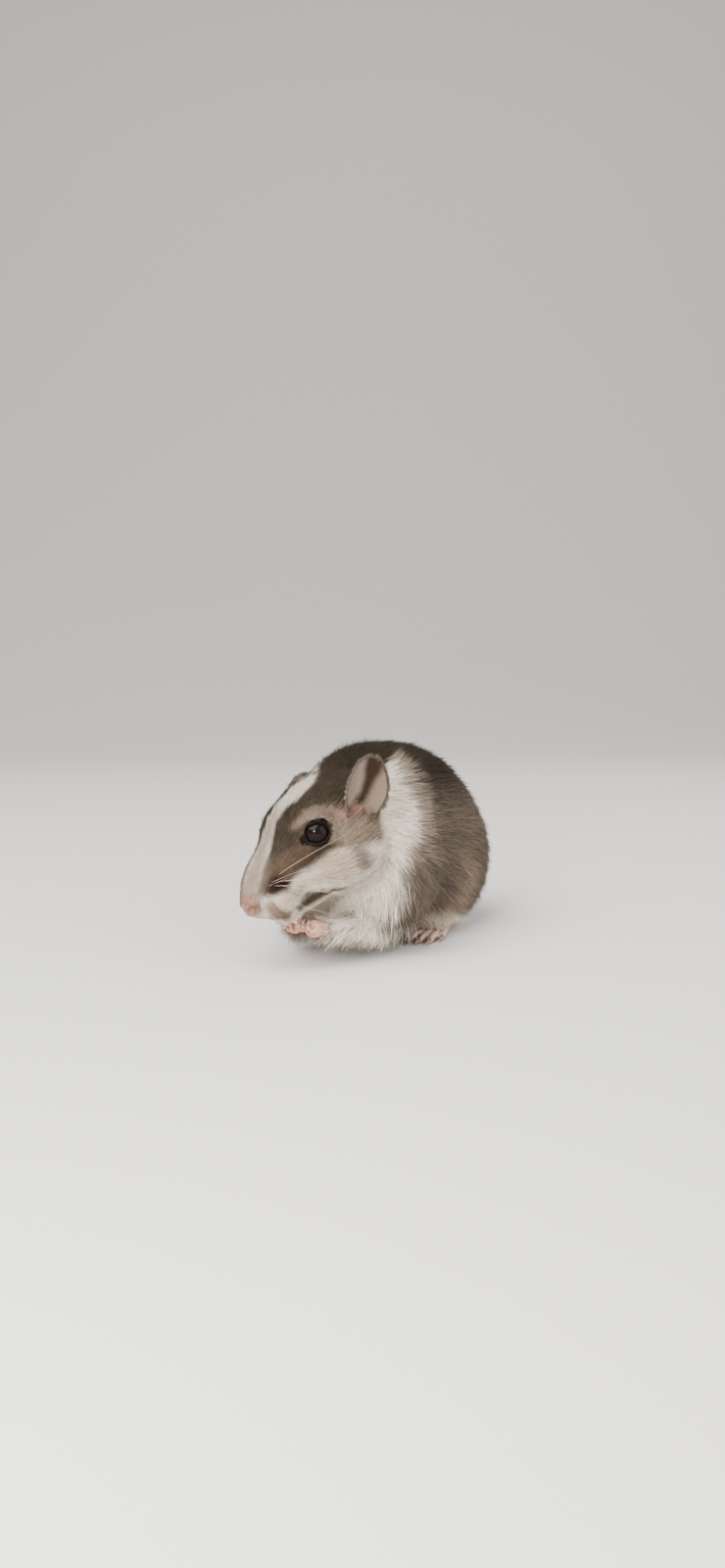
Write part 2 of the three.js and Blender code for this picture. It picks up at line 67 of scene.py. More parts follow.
def middle(node):
    low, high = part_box(node)
    return (low + high) / 2


def spin(degrees, axis):
    return Matrix.Rotation(math.radians(degrees), 3, axis)


head_axes = spin(-HEAD_TURN, "Z") @ spin(HEAD_PITCH, "X") @ spin(-HEAD_ROLL, "Y")
between_eyes = (middle("eye_left") + middle("eye_right")) / 2
head_origin = between_eyes - head_axes @ Vector((0, EYE_AT.y, EYE_AT.z)) * MM
body_origin = head_origin - HEAD_AT * MM
HEAD_ROWS = np.array(head_axes)


def on_head(x, y, z):
    return head_origin + head_axes @ (Vector((x, y, z)) * MM)


def on_body(x, y, z):
    return body_origin + Vector((x, y, z)) * MM


def to_head(points):
    return (points - np.array(head_origin)) @ HEAD_ROWS / MM


def to_body(points):
    return (points - np.array(body_origin)) / MM


print("head at", [round(v / MM, 2) for v in head_origin])

# %% [markdown]
# ## The camera
# The photograph was taken from close by, a little above the animal's head, so a wide lens near the
# animal gives the same perspective. The camera is placed from the head: so far ahead, so far aside.

# %% Camera
CAMERA_AZIMUTH = 18
CAMERA_TILT = 5.07
CAMERA_AWAY = 225
CAMERA_ASIDE = 14
CAMERA_HEIGHT = 58.3
CAMERA_LENS = 25.36

bpy.ops.object.camera_add()
camera = bpy.context.object
aside = spin(CAMERA_AZIMUTH, "Z") @ Vector((1, 0, 0))
away = spin(CAMERA_AZIMUTH, "Z") @ Vector((0, 1, 0))
camera.location = head_origin + (aside * CAMERA_ASIDE - away * CAMERA_AWAY) * MM
camera.location.z = CAMERA_HEIGHT * MM
camera.rotation_euler = (math.radians(90 - CAMERA_TILT), 0, math.radians(CAMERA_AZIMUTH))
camera.data.lens = CAMERA_LENS
camera.data.sensor_width = 36
camera.data.clip_start = 0.01
bpy.context.scene.camera = camera

# %% [markdown]
# ## The skin
# One way to a seamless skin is to sculpt it, another is to melt the solids together. Each solid is
# swollen until it bridges the thin cuts between neighbours, the whole is rebuilt as one even net, and
# the net is then let down by what it was swollen and by the depth of the coat at each place.

# %% Copies of the flesh, and a tail's core
SWELL = {"hand": 0.14, "hind_foot": 0.16, "ear": 0.12}
SWELL_ELSEWHERE = 0.26
TAIL_STATIONS = [
    (0, 24, 13, 5), (-0.3, 28.6, 9.2, 3.7), (-0.7, 32, 6.8, 3.1), (-1, 36, 5.1, 2.7),
    (-6, 52, 2.5, 2.1), (-15, 74, 2.15, 1.8), (-21, 95, 1.9, 1.55), (-20.5, 113, 1.7, 1.3),
    (-17.5, 128, 1.55, 0.8),
]
SAME_PLACE = 1e-6
FLESH = [name for name in nodes if not name.startswith(("eye_", "tail_"))]


def pick(*pieces):
    bpy.ops.object.select_all(action="DESELECT")
    for piece in pieces:
        piece.select_set(True)
    bpy.context.view_layer.objects.active = pieces[0]
    return pieces[0]


def apply_modifier(piece, kind, **settings):
    pick(piece)
    bpy.ops.object.modifier_add(type=kind)
    modifier = piece.modifiers[-1]
    for name, value in settings.items():
        setattr(modifier, name, value)
    bpy.ops.object.modifier_apply(modifier=modifier.name)


def edit_whole(piece, step, **settings):
    pick(piece)
    bpy.ops.object.mode_set(mode="EDIT")
    bpy.ops.mesh.select_all(action="SELECT")
    step(**settings)
    bpy.ops.object.mode_set(mode="OBJECT")


def swell_of(name):
    return next((value for start, value in SWELL.items() if name.startswith(start)), SWELL_ELSEWHERE)


def flesh_copy(name):
    piece = nodes[name].copy()
    piece.data = nodes[name].data.copy()
    piece.parent = None
    for key in list(piece.keys()):
        del piece[key]
    bpy.context.scene.collection.objects.link(piece)
    edit_whole(piece, bpy.ops.mesh.remove_doubles, threshold=SAME_PLACE)
    apply_modifier(piece, "DISPLACE", strength=swell_of(name) * MM, mid_level=0)
    return piece


def tapering_tube(name, stations):
    """A closed tube through (x, y, z, radius) stations in millimetres of the body."""
    bpy.ops.curve.primitive_nurbs_path_add()
    tube = bpy.context.object
    tube.name = name
    tube.data.splines.clear()
    spline = tube.data.splines.new("NURBS")
    spline.points.add(len(stations) - 1)
    for point, (x, y, z, radius) in zip(spline.points, stations):
        point.co = (*on_body(x, y, z), 1)
        point.radius = radius
    spline.order_u = 4
    spline.use_endpoint_u = True
    spline.resolution_u = 6
    tube.data.dimensions = "3D"
    tube.data.bevel_depth = MM
    tube.data.bevel_resolution = 3
    tube.data.use_fill_caps = True
    pick(tube)
    bpy.ops.object.convert(target="MESH")
    return tube


copies = [flesh_copy(name) for name in FLESH]
swollen_tail = [(x, y, z, radius + SWELL_ELSEWHERE) for x, y, z, radius in TAIL_STATIONS]
copies.append(tapering_tube("tail_core", swollen_tail))

# %% Melt them into one fine net
VOXEL = 0.22
skin = pick(*copies)
bpy.ops.object.join()
skin.name = "skin"
skin.data.materials.clear()
apply_modifier(skin, "REMESH", mode="VOXEL", voxel_size=VOXEL * MM, use_smooth_shade=True)
apply_modifier(skin, "SMOOTH", factor=0.5, iterations=3)
print("fine net:", len(skin.data.polygons), "faces")

# %% [markdown]
# ## Which part of the animal each point belongs to
# The coat changes from nose to tail, so every corner of the net is told which solid it came from.
# A tree over the solids' faces finds the nearest one quickly. The plain parts can then be made coarser
# than the face, the ears and the hands.

# %% Owners of the net's corners
PARTS = FLESH + ["tail"]
TAIL_FROM, OFF_THE_SOLIDS = 28, 1.2
tree_points, tree_faces, tree_owner = [], [], []
for number, name in enumerate(FLESH):
    start = len(tree_points)
    mesh = nodes[name].data
    tree_points += [corner.co.copy() for corner in mesh.vertices]
    tree_faces += [[start + i for i in face.vertices] for face in mesh.polygons]
    tree_owner += [number] * len(mesh.polygons)
solids_tree = BVHTree.FromPolygons(tree_points, tree_faces)


def read_rows(items, what, wide, kind=float):
    flat = np.empty(len(items) * wide, dtype=kind)
    items.foreach_get(what, flat)
    return flat.reshape(-1, wide)


def of_skin(what):
    """Place or normal of each corner of the skin."""
    return read_rows(skin.data.vertices, what, 3)


def owners_of(points):
    """The number of the part that each point belongs to: what lies off all solids behind is the tail."""
    nearest = [solids_tree.find_nearest(Vector(point)) for point in points]
    owner = np.array([tree_owner[hit[2]] for hit in nearest])
    far_off = np.array([hit[3] for hit in nearest]) / MM
    owner[(to_body(points)[:, 1] > TAIL_FROM) & (far_off > OFF_THE_SOLIDS)] = PARTS.index("tail")
    return owner


def is_part(*starts, of=None):
    """Which corners, or which of the owners given, belong to the parts whose names start so."""
    chosen = [number for number, part in enumerate(PARTS) if part.startswith(starts)]
    return np.isin(owner if of is None else of, chosen)


FACE_END = 4
NET_SHARE = 0.245
net = of_skin("co")
owner = owners_of(net)
face = is_part("head") & (to_head(net)[:, 1] < FACE_END)
plain = skin.vertex_groups.new(name="plain")
plain.add([int(i) for i in np.flatnonzero(~face & ~is_part("ear", "hand"))], 1.0, "REPLACE")
apply_modifier(skin, "DECIMATE", ratio=NET_SHARE, vertex_group="plain", vertex_group_factor=10)
skin.vertex_groups.clear()

net = of_skin("co")
owner = owners_of(net)
head, body = to_head(net), to_body(net)
print("net:", len(skin.data.polygons), "faces", {name: int(is_part(name).sum()) for name in PARTS})

# %% [markdown]
# ## Smooth fields over the skin
# Depth, length and direction of the fur are first written part by part, which leaves steps at the
# borders. Averaging each corner with its neighbours many times melts the steps away.

# %% Averaging over the net
first, second = read_rows(skin.data.edges, "vertices", 2, np.int64).T
degree = np.bincount(first, minlength=len(net)) + np.bincount(second, minlength=len(net))


def averaged(field, turns):
    field = np.array(field, dtype=float)
    flat = field.reshape(len(field), -1)
    for _ in range(turns):
        for k in range(flat.shape[1]):
            around = np.bincount(first, flat[second, k], len(net))
            around += np.bincount(second, flat[first, k], len(net))
            flat[:, k] = (flat[:, k] + around / np.maximum(degree, 1)) / 2
    return flat.reshape(field.shape)


def unit(vectors):
    return vectors / np.maximum(np.linalg.norm(vectors, axis=-1, keepdims=True), 1e-12)


def blend(low, high, value):
    t = np.clip((value - low) / (high - low), 0, 1)
    return t * t * (3 - 2 * t)


def stroke(points, path, soft):
    """1 near a path of (x, y, z, radius) stations in millimetres, 0 away from it, with a soft edge."""
    path = np.array(path, dtype=float)
    beyond = np.full(len(points), np.inf)
    for start, end in zip(path[:-1], path[1:]):
        along = end[:3] - start[:3]
        t = np.clip((points - start[:3]) @ along / (along @ along), 0, 1)
        off = np.linalg.norm(points - start[:3] - t[:, None] * along, axis=1)
        beyond = np.minimum(beyond, off - start[3] - t * (end[3] - start[3]))
    return 1 - blend(-soft, soft, beyond)


def mirrored(h):
    """Places on the head with its right side laid over its left."""
    return np.column_stack([np.abs(h[:, 0]), h[:, 1:]])


def beyond_eye(h):
    return np.linalg.norm(mirrored(h) - np.array(EYE_AT), axis=1) - EYE_RADIUS


EYE_LOOK = unit(np.array((0.93, -0.34, 0.14)))
BEHIND_EYE = 99


def from_eye_opening(h):
    """How far a place is from the line that the eye looks along, and BEHIND_EYE behind the eye."""
    off = mirrored(h) - np.array(EYE_AT)
    along = off @ EYE_LOOK
    return np.where(along > 0, np.linalg.norm(off - along[:, None] * EYE_LOOK, axis=1), BEHIND_EYE)


# %% How the coat is made on each part
# depth of the skin under the outline, then length, width and number per square millimetre of the tufts
COAT = {
    "torso": (1.7, 5.6, 0.19, 6.9), "thigh": (1.7, 5.6, 0.19, 6.9), "neck": (1.7, 5.4, 0.18, 8.6),
    "upper_arm": (1.4, 5.2, 0.19, 7.5), "forearm": (0.9, 4.2, 0.16, 11), "hand": (0.05, 0.8, 0.07, 6),
    "hind_foot": (0.1, 1.4, 0.09, 9), "ear": (0.08, 0.8, 0.07, 14), "tail": (0.2, 2.8, 0.15, 9),
    "head": (0.8, 2.6, 0.15, 14),
}
NOSE = np.array((0, -16.4, -7.8))
HEAD_LENGTH = 24
LID_BARE_TO, LID_COAT_FROM = 0.4, 2.6


def coat_field(column):
    field = np.zeros(len(net))
    for start, values in COAT.items():
        field[is_part(start)] = values[column]
    return field


def across_face(h, near, far, reach=HEAD_LENGTH):
    """A value that changes from the nose to the back of the head."""
    away_from_nose = np.linalg.norm(h - NOSE, axis=1)
    return near + (far - near) * blend(2, reach, away_from_nose)


on_head_part = is_part("head")
depth = coat_field(0)
depth[on_head_part] = across_face(head, 0.2, 1.0)[on_head_part]
depth = averaged(depth, 16)
eye_gap = beyond_eye(head)
depth = np.where(on_head_part, depth * blend(LID_BARE_TO, LID_COAT_FROM, eye_gap), depth)
swell = averaged(np.array([swell_of(part) for part in PARTS])[owner], 3)
net = net - of_skin("normal") * ((swell + depth) * MM)[:, None]
skin.data.vertices.foreach_set("co", net.ravel())
skin.data.update()
apply_modifier(skin, "SMOOTH", factor=0.4, iterations=2)
net = of_skin("co")
print("coat depth:", round(depth.min(), 2), "to", round(depth.max(), 2), "mm")

# %% [markdown]
# ## Creases of the face
# The mouth, the cleft of the lip, the nostrils and the crease beside the nose are found by looking
# outwards from inside the head, then pressed into the skin as narrow grooves.

# %% Grooves
skin_faces = [list(face.vertices) for face in skin.data.polygons]
skin_tree = BVHTree.FromPolygons([Vector(point) for point in net], skin_faces)


def on_face(inside, towards):
    """Where a look from inside the head, in its own millimetres, comes out through the skin."""
    start = on_head(*inside)
    hit = skin_tree.ray_cast(start, (on_head(*towards) - start).normalized())[0]
    return to_head(np.array([hit]))[0]


def groove(inside, towards, radius, sink, soft):
    """A path on the skin, how deep it is pressed in, and how soft its edge is."""
    return [(*on_face(inside, place), radius) for place in towards], sink, soft


LIPS = [(0.1, -17, -14.2), (2.4, -15.5, -14.6), (5.2, -12, -14.2), (8, -7, -13)]
NOSTRIL = [(0.9, -17, -7.7), (1.9, -17, -7.2), (2.9, -17, -7.6)]
WING = [(4.6, -16, -6.2), (4.2, -16.6, -8.4)]
CLEFT = [(0, -17, -8.6), (0, -17, -11), (0, -17, -14.2)]
EYE_CORNER = [(9.2, -1.5, 0, 1.7), (8.6, -2.6, 0, 1.1), (8, -3.8, 0.3, 0.2)]

creases = [groove((0, -11, -8.5), CLEFT, 0.12, 0.4, 0.35)]
for side in (1, -1):
    lips, nostril, wing = ([(side * x, y, z) for x, y, z in path] for path in (LIPS, NOSTRIL, WING))
    creases.append(groove((0, -6, -9.2), lips, 0.16, 0.5, 0.4))
    creases.append(groove((0, -12, -7.4), nostril, 0.2, 0.65, 0.35))
    creases.append(groove((0, -12, -7.4), wing, 0.12, 0.25, 0.4))


def crease_share(h):
    return np.max([stroke(h, path, soft) for path, _, soft in creases], axis=0)


# %% Creases between the fingers, in each hand's own directions
HANDS = {"left": ((-3, -34.6, 8.7), (7.5, -17, 7.4)), "right": ((-8.6, -31.8, 8.6), (-12.5, -18, 7.4))}
SIDE_NAMES = ("left", "right")
FINGER_SPACING = 1.2
FINGER_CREASE = (0.08, 0.34)
FINGER_CREASE_DEPTH = 0.4
KNUCKLES = (0.9, 1.8)


def hand_axes(name):
    """Rows: along the hand from the elbow, across it to the outside, and up."""
    hand, elbow = (np.array(place, dtype=float) for place in HANDS[name])
    along = unit(hand - elbow)
    across = unit(np.cross(along, (0, 0, 1))) * (-1 if name == "left" else 1)
    return hand, np.array([along, across, unit(np.array((0, 0, 1)) - along * along[2])])


def finger_share(b, name):
    """1 in the three creases between the four fingers."""
    hand, axes = hand_axes(name)
    along, out, _ = ((b - hand) @ axes.T).T
    off = np.min([np.abs(out - place * FINGER_SPACING) for place in (-1, 0, 1)], axis=0)
    return (1 - blend(*FINGER_CREASE, off)) * blend(*KNUCKLES, along)


# %% The skin round the lids is evened out and drawn in, and the creases are pressed in
LID_DRAWN, LID_DRAWN_BEHIND = 0.3, 0.2
head = to_head(net)
opening = from_eye_opening(head)
round_lids = blend(2.9, 3.5, opening) * (1 - blend(4.6, 5.6, opening)) * on_head_part
round_lids[beyond_eye(head) >= 2.5] = 0
net = net + (averaged(net, 24) - net) * round_lids[:, None]
head = to_head(net)
opening = from_eye_opening(head)


def lids_drawn_in(h):
    """Skin near the eye's opening slid towards it over the eyeball, most of all behind the eye."""
    off = mirrored(h) - np.array(EYE_AT)
    reach = np.linalg.norm(off, axis=1)
    sideways = off - (off @ EYE_LOOK)[:, None] * EYE_LOOK
    wide = np.maximum(np.linalg.norm(sideways, axis=1), 1e-6)
    near = (1 - blend(2.8, 4.6, opening)) * (1 - blend(4.0, 5.0, reach))
    less = (LID_DRAWN + LID_DRAWN_BEHIND * sideways[:, 1] / wide) * near
    narrow = wide - less
    along = np.sqrt(np.maximum(reach**2 - narrow**2, 0))
    placed = np.array(EYE_AT) + sideways * (narrow / wide)[:, None] + along[:, None] * EYE_LOOK
    placed[:, 0] *= np.sign(h[:, 0])
    return np.where((opening < BEHIND_EYE)[:, None], placed, h)


moved = lids_drawn_in(head) @ HEAD_ROWS.T * MM + np.array(head_origin)
net = np.where(on_head_part[:, None], moved, net)
head = to_head(net)
sunk = np.max([stroke(head, path, soft) * sink for path, sink, soft in creases], axis=0)
sunk[~on_head_part] = 0
between_fingers = np.zeros(len(net))
for name in SIDE_NAMES:
    own = is_part("hand_" + name)
    between_fingers[own] = finger_share(to_body(net), name)[own]
sunk += FINGER_CREASE_DEPTH * between_fingers
net = net - of_skin("normal") * (sunk * MM)[:, None]
skin.data.vertices.foreach_set("co", net.ravel())
skin.data.update()
normal = of_skin("normal")
head, body = to_head(net), to_body(net)

# %% [markdown]
# ## The markings, with painted shade and light
# A pied coat is grey-brown with a white blaze, a white collar that widens behind the ear, and a white
# chest and belly. Each marking is a soft-edged shape in the head's or the body's own directions, so
# skin and tufts ask the same function and always agree. Some shapes are painted shade and light: the
# shadow under the jaw, the shaded far side of the muzzle and inside of the ears, part of the darker
# back, and a lit stripe down the haunch.


# %% Colours
def from_screen(red, green, blue):
    """A colour as a screen gives it, from 0 to 255, as the linear light that a shader wants."""
    c = np.array((red, green, blue)) / 255
    return np.where(c <= 0.04045, c / 12.92, ((c + 0.055) / 1.055) ** 2.4)


FLANK = from_screen(97, 86, 75)
FLANK_LIGHT = from_screen(148, 133, 118)
# the back's darker fur, darkened further as painted shade where less light falls on the top
BACK_DARK_AND_SHADE = from_screen(45, 38, 30)
# painted light: the lit stripe down the front of the haunch
HAUNCH_LIT = from_screen(128, 112, 95)
WHITE = from_screen(229, 216, 200)
CREAM = from_screen(190, 169, 149)
FOREHEAD = from_screen(56, 48, 39)
MUZZLE = from_screen(79, 64, 52)
WHISKER_PAD = from_screen(36, 22, 17)
EYE_RING = from_screen(109, 92, 79)
EAR_PATCH = from_screen(124, 107, 92)
# painted shade under the jaw line, above the chest and the hands
JAW_SHADE = from_screen(72, 58, 46)
LIP = from_screen(142, 119, 104)
PINK = from_screen(200, 152, 134)
NOSE_PINK = from_screen(142, 106, 92)
BLAZE_WHITE, BLAZE_DIM = WHITE * 0.68, from_screen(166, 146, 129) * 0.55
EYE_RIM = from_screen(12, 8, 7)
# the inside of the ear's cup: darker skin with sparse hair, darkened further as painted shade of the hollow
EAR_DARK_AND_SHADE = from_screen(44, 31, 23)
EAR_BAND = from_screen(124, 110, 98)
EAR_PINK = from_screen(150, 112, 100)
TAIL_BROWN = from_screen(98, 84, 69)
TUFT_DARK = from_screen(46, 38, 32)
CLAW = from_screen(132, 106, 92)

# %% Marks of the face, as strokes of (x, y, z, radius), painted one over the other; the stroke along the jaw is painted shade
FACE_MARKS = [
    (EYE_RING, 1.0, [(7.4, -3, 3.7, 0.7), (8.2, 1.2, 4.2, 1.7), (10.6, 5.6, 1.8, 2.4)]),
    (EAR_PATCH, 1.2, [(10.8, 3.6, -1.6, 2.4), (11.8, 8.4, -4.4, 3.2), (10.4, 12.6, -7, 2.2)]),
    (EAR_PINK, 1.0, [(10.9, 6.6, 1.2, 0.8), (10.8, 9.6, 0, 1.6)]),
    (MUZZLE, 1.2, [(7.9, -4, -2, 2.2), (6.4, -8, -2.8, 2.9), (5.2, -12, -4.2, 2.3)]),
    (CREAM, 1.2, [(8.8, -2.2, -5.9, 0.8), (10.8, 0.4, -6.6, 2), (11.6, 2.6, -6.4, 1.6)]),
    (CREAM, 1.2, [(11, 1.4, -9.4, 2.6), (7.4, -3, -9, 1.5), (6, -7, -8.8, 1.3), (5.9, -11, -8.6, 1.4)]),
    (EAR_PATCH * 0.7, 1.5, [(12, 5.2, -7.6, 1.5), (11.3, 5.8, -10.6, 1.6)]),
    # painted shade under the jaw line
    (JAW_SHADE, 1.1, [(6.6, 1.4, -13.8, 0.6), (5, -1.6, -13.4, 1.3), (4.2, -5, -12.4, 1.8),
                (3.6, -7.6, -12.6, 1.2)]),
    (WHISKER_PAD, 1.2, [(4.4, -13.6, -3.8, 1.4), (5.5, -11.6, -4.8, 2.1), (6.4, -9.6, -5.8, 1.5)]),
    (LIP, 1.0, [(5.4, -14.2, -8, 1.2), (4.6, -13.4, -10.4, 1.6), (3, -11.4, -12.6, 1.6)]),
    (WHITE, 1.2, [(9.5, 17, -6, 1.8), (9.6, 14, -10.6, 1.6), (10.4, 11, -13, 1.8),
                  (7.2, 4, -16.4, 1.8)]),
]
# painted shade on the far side of the muzzle, beside the blaze, in the eye ring's colour
SHADE_BESIDE_BLAZE = [(-0.4, -14.8, -3, 1.8), (-0.8, -10.6, 1, 1.7), (-0.8, -7, 3.8, 0.9)]
BLAZE = [
    (2, -14.5, -3.2, 2), (1.9, -12, -0.6, 2.1), (1.8, -9.5, 1.2, 2.1), (1.5, -6.8, 3.6, 1.95),
    (1.5, -4, 6, 1.75), (2, -1.8, 7, 1.9), (1.5, 0.5, 7.9, 2.4), (2.2, 3, 8.5, 2.8),
    (2.5, 6, 8.8, 2.3), (0.6, 9.8, 9, 0.8),
]
BLAZE_NARROWS = [(1.5, -9.5, 1.2, 1.5), (1.5, -6.8, 3.6, 2), (1.5, -3, 6.4, 1.6)]
# the lower end of the blaze: cream fur, made dimmer by painted shade
MUZZLE_TOP = [(1.6, -16.5, -5.5, 3.2), (2.4, -13, -1.8, 2.4), (2.8, -10.6, 0, 1.2)]
NOSE_TIP = [(-1.4, -16.2, -7.4, 2), (2, -16.2, -7.2, 2.3)]
CHEEK_LINE = (-7.4, -4.4)


def paint(colour, other, share):
    return colour + (other - colour) * share[:, None]


def face_colours(h):
    left = mirrored(h)
    colour = paint(FOREHEAD, WHITE * 0.92, 1 - blend(*CHEEK_LINE, h[:, 2]))
    for other, soft, path in FACE_MARKS:
        colour = paint(colour, other, stroke(left, path, soft))
    # painted shade on the far side of the muzzle only
    colour = paint(colour, EYE_RING, stroke(h, SHADE_BESIDE_BLAZE, 1.0))
    blaze = stroke(h, BLAZE, 0.6)
    colour = paint(colour, BLAZE_WHITE, blaze)
    colour = paint(colour, BLAZE_DIM, 0.75 * stroke(h, BLAZE_NARROWS, 2) * blaze)
    # the top of the muzzle dimmed: cream fur and painted shade
    colour = paint(colour, BLAZE_DIM, 0.9 * stroke(h, MUZZLE_TOP, 2.2))
    return paint(colour, NOSE_PINK, stroke(h, NOSE_TIP, 1.3))


# %% Marks of the ears, in each ear's own directions
EAR_BASE = (8.6, 9, -3.8)
EAR_HALF, EAR_HALF_WIDTH = 8, 5
EAR_TIP = {1: (0.36, 0.48, 0.8), -1: (-0.46, 0.6, 0.66)}
FAR_EAR = [(-8.6, 9, -3.8, 5), (-14.6, 16.8, 4.8, 6)]
EAR_CURL = {"front": 4.6, "back": 2.6, "top": 1.4}
EAR_NARROWS = 0.42
# where the inside of the cup is painted dark: its own darker skin and painted shade
EAR_DARK_AND_SHADE_PATH = [(-0.9, 0, 14.6, 1.9), (-0.9, 0, 12.8, 1.8), (-0.7, 0, 10.7, 1.2), (-0.3, 0, 8, 1),
                 (0.6, 0, 5, 0.6)]


def ear_axes(side):
    tip = unit(np.array(EAR_TIP[side]))
    opening = np.array((side * 0.86, -0.42, -0.2))
    opening = unit(opening - tip * (opening @ tip))
    return np.array([np.cross(opening, tip), opening, tip])


def ear_places(h):
    """Places on an ear: x to its front edge, y out of the cup's own surface, z from base to tip."""
    places = np.empty_like(h)
    for side in (1, -1):
        own = h[:, 0] * side > 0
        at = (h[own] - np.array((side * EAR_BASE[0], *EAR_BASE[1:]))) @ ear_axes(side).T
        at[:, 0] *= side
        narrow = 1 - EAR_NARROWS * np.clip(1 - at[:, 2] / EAR_HALF, 0, 1) ** 1.5
        curl = np.where(at[:, 0] > 0, EAR_CURL["front"], EAR_CURL["back"])
        at[:, 1] -= curl * (at[:, 0] / EAR_HALF_WIDTH / narrow) ** 2
        at[:, 1] -= EAR_CURL["top"] * np.clip((at[:, 2] / EAR_HALF / 2 - 0.55) / 0.45, 0, 1) ** 2
        places[own] = at
    return places


def ear_colours(h):
    e = ear_places(h)
    flat = e * np.array((1, 0, 1))
    colour = paint(EAR_PATCH * 0.8, EAR_BAND, blend(-0.6, 0.9, e[:, 0]))
    # the inside of the cup: darker skin and painted shade
    inner = paint(colour, EAR_DARK_AND_SHADE, stroke(flat, EAR_DARK_AND_SHADE_PATH, 0.9))
    inner = paint(inner, EAR_PINK, (1 - blend(3.2, 5.4, e[:, 2])) * blend(-1.5, 0.5, e[:, 0]))
    colour = paint(colour, inner, blend(-0.2, 0.2, e[:, 1]))
    # a pale rim round the top of the ear: pale hair on the edge, brightened further as a painted highlight
    edge = np.hypot(e[:, 0] / EAR_HALF_WIDTH, e[:, 2] / EAR_HALF - 1)
    return paint(colour, EAR_BAND * 1.15, blend(0.91, 0.98, edge) * blend(6, 8, e[:, 2]))


# %% Marks of the body: a collar between two edges, a pale chest and belly, a back that is darker partly by painted shade, and painted light down the rim of the haunch
COLLAR_HEIGHTS = [4, 10, 15, 18.5, 21.5, 25, 28, 32, 33.5, 36, 38, 41, 44]
COLLAR_FRONT = [-42, -42, -40, -32.5, -31, -29.5, -27, -26.5, -24, -20.5, -18, -14.5, -13]
COLLAR_BACK = [-24, -24.5, -24.6, -24.8, -23.2, -21.8, -18.4, -15, -14.2, -13, -12.2, -10.8, -9]
NAPE_HEIGHTS, NAPE_SIDES = [29, 34, 38, 42], [-2, 4.5, 5.5, 6.5]
CHEST = [(-3, -28, 12, 8), (-3, -20, 8, 6)]
# where the painted light of the haunch's lit stripe lies
HAUNCH_LIT_RIM = [(21.5, 1.5, 18, 1.6), (21.6, 5, 13, 3.2), (19, 3, 8.5, 3), (15, 1, 5, 2.6)]


def body_colours(b):
    # the top of the body darker: partly the back's own colour, partly painted shade
    colour = paint(FLANK, BACK_DARK_AND_SHADE, blend(28, 41, b[:, 2]))
    over_edge = b[:, 1] - np.interp(b[:, 2], COLLAR_HEIGHTS, COLLAR_BACK)
    nape = np.interp(b[:, 2], NAPE_HEIGHTS, NAPE_SIDES)
    out = b[:, 0] + 1
    off_nape = blend(nape - 0.8, nape + 1, np.where(out > 0, out, -out - 5))
    behind_collar = (1 - blend(0, 8, over_edge)) * blend(18, 26, b[:, 2])
    colour = paint(colour, FLANK_LIGHT, behind_collar * off_nape)
    left = np.column_stack([np.abs(b[:, 0]), b[:, 1:]])
    # painted light down the haunch's rim
    colour = paint(colour, HAUNCH_LIT, stroke(left, HAUNCH_LIT_RIM, 2.6))
    colour = paint(colour, WHITE, stroke(b, CHEST, 3))
    colour = paint(colour, WHITE, 1 - blend(3, 7, b[:, 2] + 0.1 * np.maximum(b[:, 1], 0)))
    inside_front = b[:, 1] - np.interp(b[:, 2], COLLAR_HEIGHTS, COLLAR_FRONT)
    share = blend(-0.7, 0.7, inside_front) * (1 - blend(-1.2, 1.2, over_edge))
    return paint(colour, WHITE, share * off_nape)


def markings_and_shading(points, part):
    """Colour of the animal, with its painted shade and light, at points of its outline, given which part
    each belongs to.
    """
    h, b = to_head(points), to_body(points)
    colour = body_colours(b)
    tail = paint(TAIL_BROWN, TUFT_DARK, blend(82, 104, b[:, 1]))
    others = {"head": face_colours(h), "ear": ear_colours(h), "forearm": WHITE,
              "hind_foot": (PINK + WHITE) / 2, "tail": tail}
    for name in SIDE_NAMES:
        hand, axes = hand_axes(name)
        wrist = 1 - blend(-1.8, -0.2, (b - hand) @ axes[0])
        others["hand_" + name] = paint(PINK, WHITE, wrist)
    for start, other in others.items():
        colour = np.where(is_part(start, of=part)[:, None], other, colour)
    return colour


# %% The skin's colours, with painted shade under the coat, between the fingers and in the creases, and dark rims on the lids
SHADE_UNDER_COAT, SHADE_BETWEEN_FINGERS = 0.72, 0.65
LID_RIM = (2.9, 3.15)
skin_colour = averaged(markings_and_shading(net + normal * (depth * MM)[:, None], owner), 2)
# painted shade on the skin where the coat is thick
skin_colour *= (1 - (1 - SHADE_UNDER_COAT) * blend(0.1, 0.6, depth))[:, None]
eye_gap = beyond_eye(head)
rim = np.maximum(1 - blend(*LID_RIM, opening), stroke(mirrored(head), EYE_CORNER, 0.25)) * on_head_part
skin_colour = paint(skin_colour, EYE_RIM, rim)
# painted shade between the fingers
skin_colour *= (1 - (1 - SHADE_BETWEEN_FINGERS) * between_fingers)[:, None]
# painted shade in the creases of the face, in the ear's dark colour
skin_colour = paint(skin_colour, EAR_DARK_AND_SHADE * 0.6, crease_share(head) * on_head_part)

# %% [markdown]
# ## Materials
# Fur and skin take their colour from an attribute that holds the markings and the painted shade and light,
# with fine ticking on top: each hair of an agouti coat has light and dark bands. The ticking is a node
# group, used by both.


